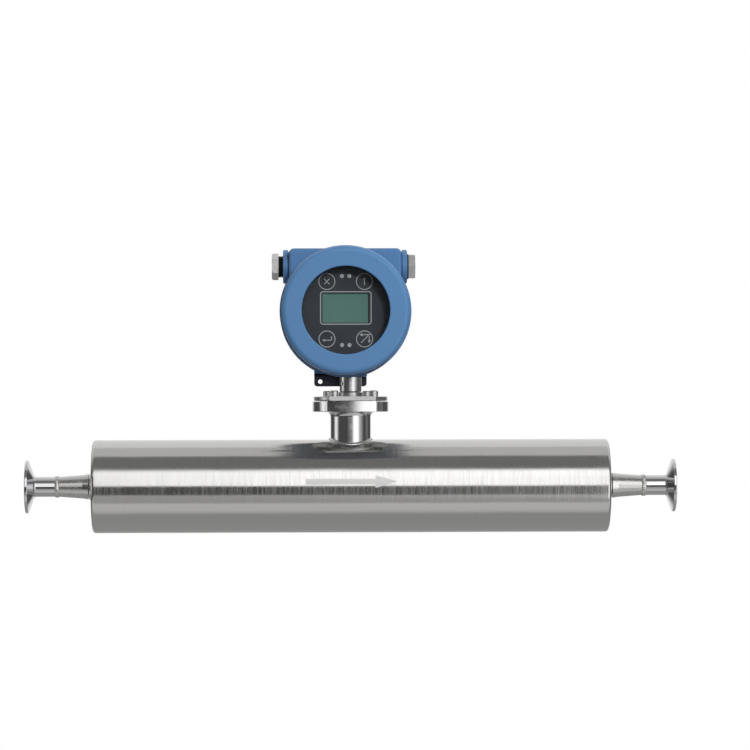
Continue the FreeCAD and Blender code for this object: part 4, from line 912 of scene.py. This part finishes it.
cells = bricks(tree, place, (0.080, 0.185, 0.156), (0.073, 0.174, 0.147), (0.064, 0.153, 0.130),
               cell, cell, cell_gap, offset=0.0)
# Outside the live field the screen is painted near-black: its mask, with painted shade at the right and top.
tinted(tree, shader, inside_field, (0.004, 0.005, 0.006), cells[0])
give(screen, "lcd_module")

# Four light pipes of clear frosted plastic.
lamp_plastic, tree, shader, place = new_finish("lamp_plastic", (0.50, 0.51, 0.53), 0.0, 0.28, Coat_Weight=0.4)
specked(tree, shader, place, 900.0, 2.0, (0.24, 0.26, 0.28), (0.44, 0.46, 0.49))
give(lamp_plastic, "indicator_lamps")


# ------------------------------------------------
# The plugs that close the two cable entries: hexagons turned from brass bar, tumbled and then
# nickel-plated, so they are satin and their corners are soft.
# ------------------------------------------------
plug_metal, tree, shader, place = new_finish("plug_metal", (0.58, 0.58, 0.58), 0.75, 0.4)
tumbled = smudged(tree, shader, place, clouds=150.0, clean=0.34, dull=0.48)
bumpy(tree, shader, tumbled, 0.00001)
give(plug_metal, "left_plug", "right_plug")


# ------------------------------------------------
# Inside the case: two bent flow tubes brazed into cast splitters, tied by four brace plates, with
# a drive coil and two pickoff coils of lacquered copper wire, nickel-plated magnets and a sensor.
# ------------------------------------------------
tube_steel, tree, shader, place = new_finish("tube_steel", (0.52, 0.515, 0.50), 1.0, 0.26)
grained(tree, shader, place, lines=(60.0, 900.0, 900.0), depth=6e-6)
give(tube_steel, "front_flow_tube", "rear_flow_tube", "inlet_splitter", "outlet_splitter", "brace_plates",
     "coil_saddles", "magnet_saddles", "temperature_sensor")

coil_wire, tree, shader, place = new_finish("coil_winding", (0.42, 0.13, 0.05), 0.6, 0.35)
wound = put(tree, "ShaderNodeTexWave", {"Vector": place, "Scale": 600.0}, wave_type="BANDS",
            bands_direction="Z").outputs[1]
tinted(tree, shader, wound, (0.25, 0.07, 0.03), (0.50, 0.17, 0.07))
bumpy(tree, shader, wound, 0.00005)
give(coil_wire, "inlet_pickoff_coil", "drive_coil", "outlet_pickoff_coil")

magnet_nickel, tree, shader, place = new_finish("magnet_nickel", (0.6, 0.57, 0.52), 1.0, 0.2)
smudged(tree, shader, place, clouds=500.0, clean=0.14, dull=0.3)
give(magnet_nickel, "inlet_pickoff_magnet", "drive_magnet", "outlet_pickoff_magnet")


# ------------------------------------------------
# Inside the head: green circuit boards behind the panel, a potted power module, and in the rear
# compartment a moulded terminal board and block.
# ------------------------------------------------
board_green, tree, shader, place = new_finish("circuit_board", (0.016, 0.10, 0.045), 0.0, 0.35)
tracks = bricks(tree, place, (0.012, 0.085, 0.036), (0.016, 0.105, 0.046), (0.03, 0.19, 0.085),
                0.006, 0.0018, 0.0002)
tree.links.new(tracks[0], shader.inputs["Base Color"])
bumpy(tree, shader, tracks[1], 0.00003)
give(board_green, "display_board", "main_board")

potting, tree, shader, place = new_finish("potting_black", (0.016, 0.016, 0.018), 0.0, 0.45)
bumpy(tree, shader, noise(tree, place, 60.0, 2.0), 0.0003)
give(potting, "power_module")

terminal_plastic, tree, shader, place = new_finish("terminal_plastic", (0.05, 0.16, 0.07), 0.0, 0.45)
moulded = specked(tree, shader, place, 1800.0, 2.0, (0.04, 0.14, 0.06), (0.06, 0.18, 0.08))
bumpy(tree, shader, moulded, 0.00002)
give(terminal_plastic, "terminal_board", "terminal_block")
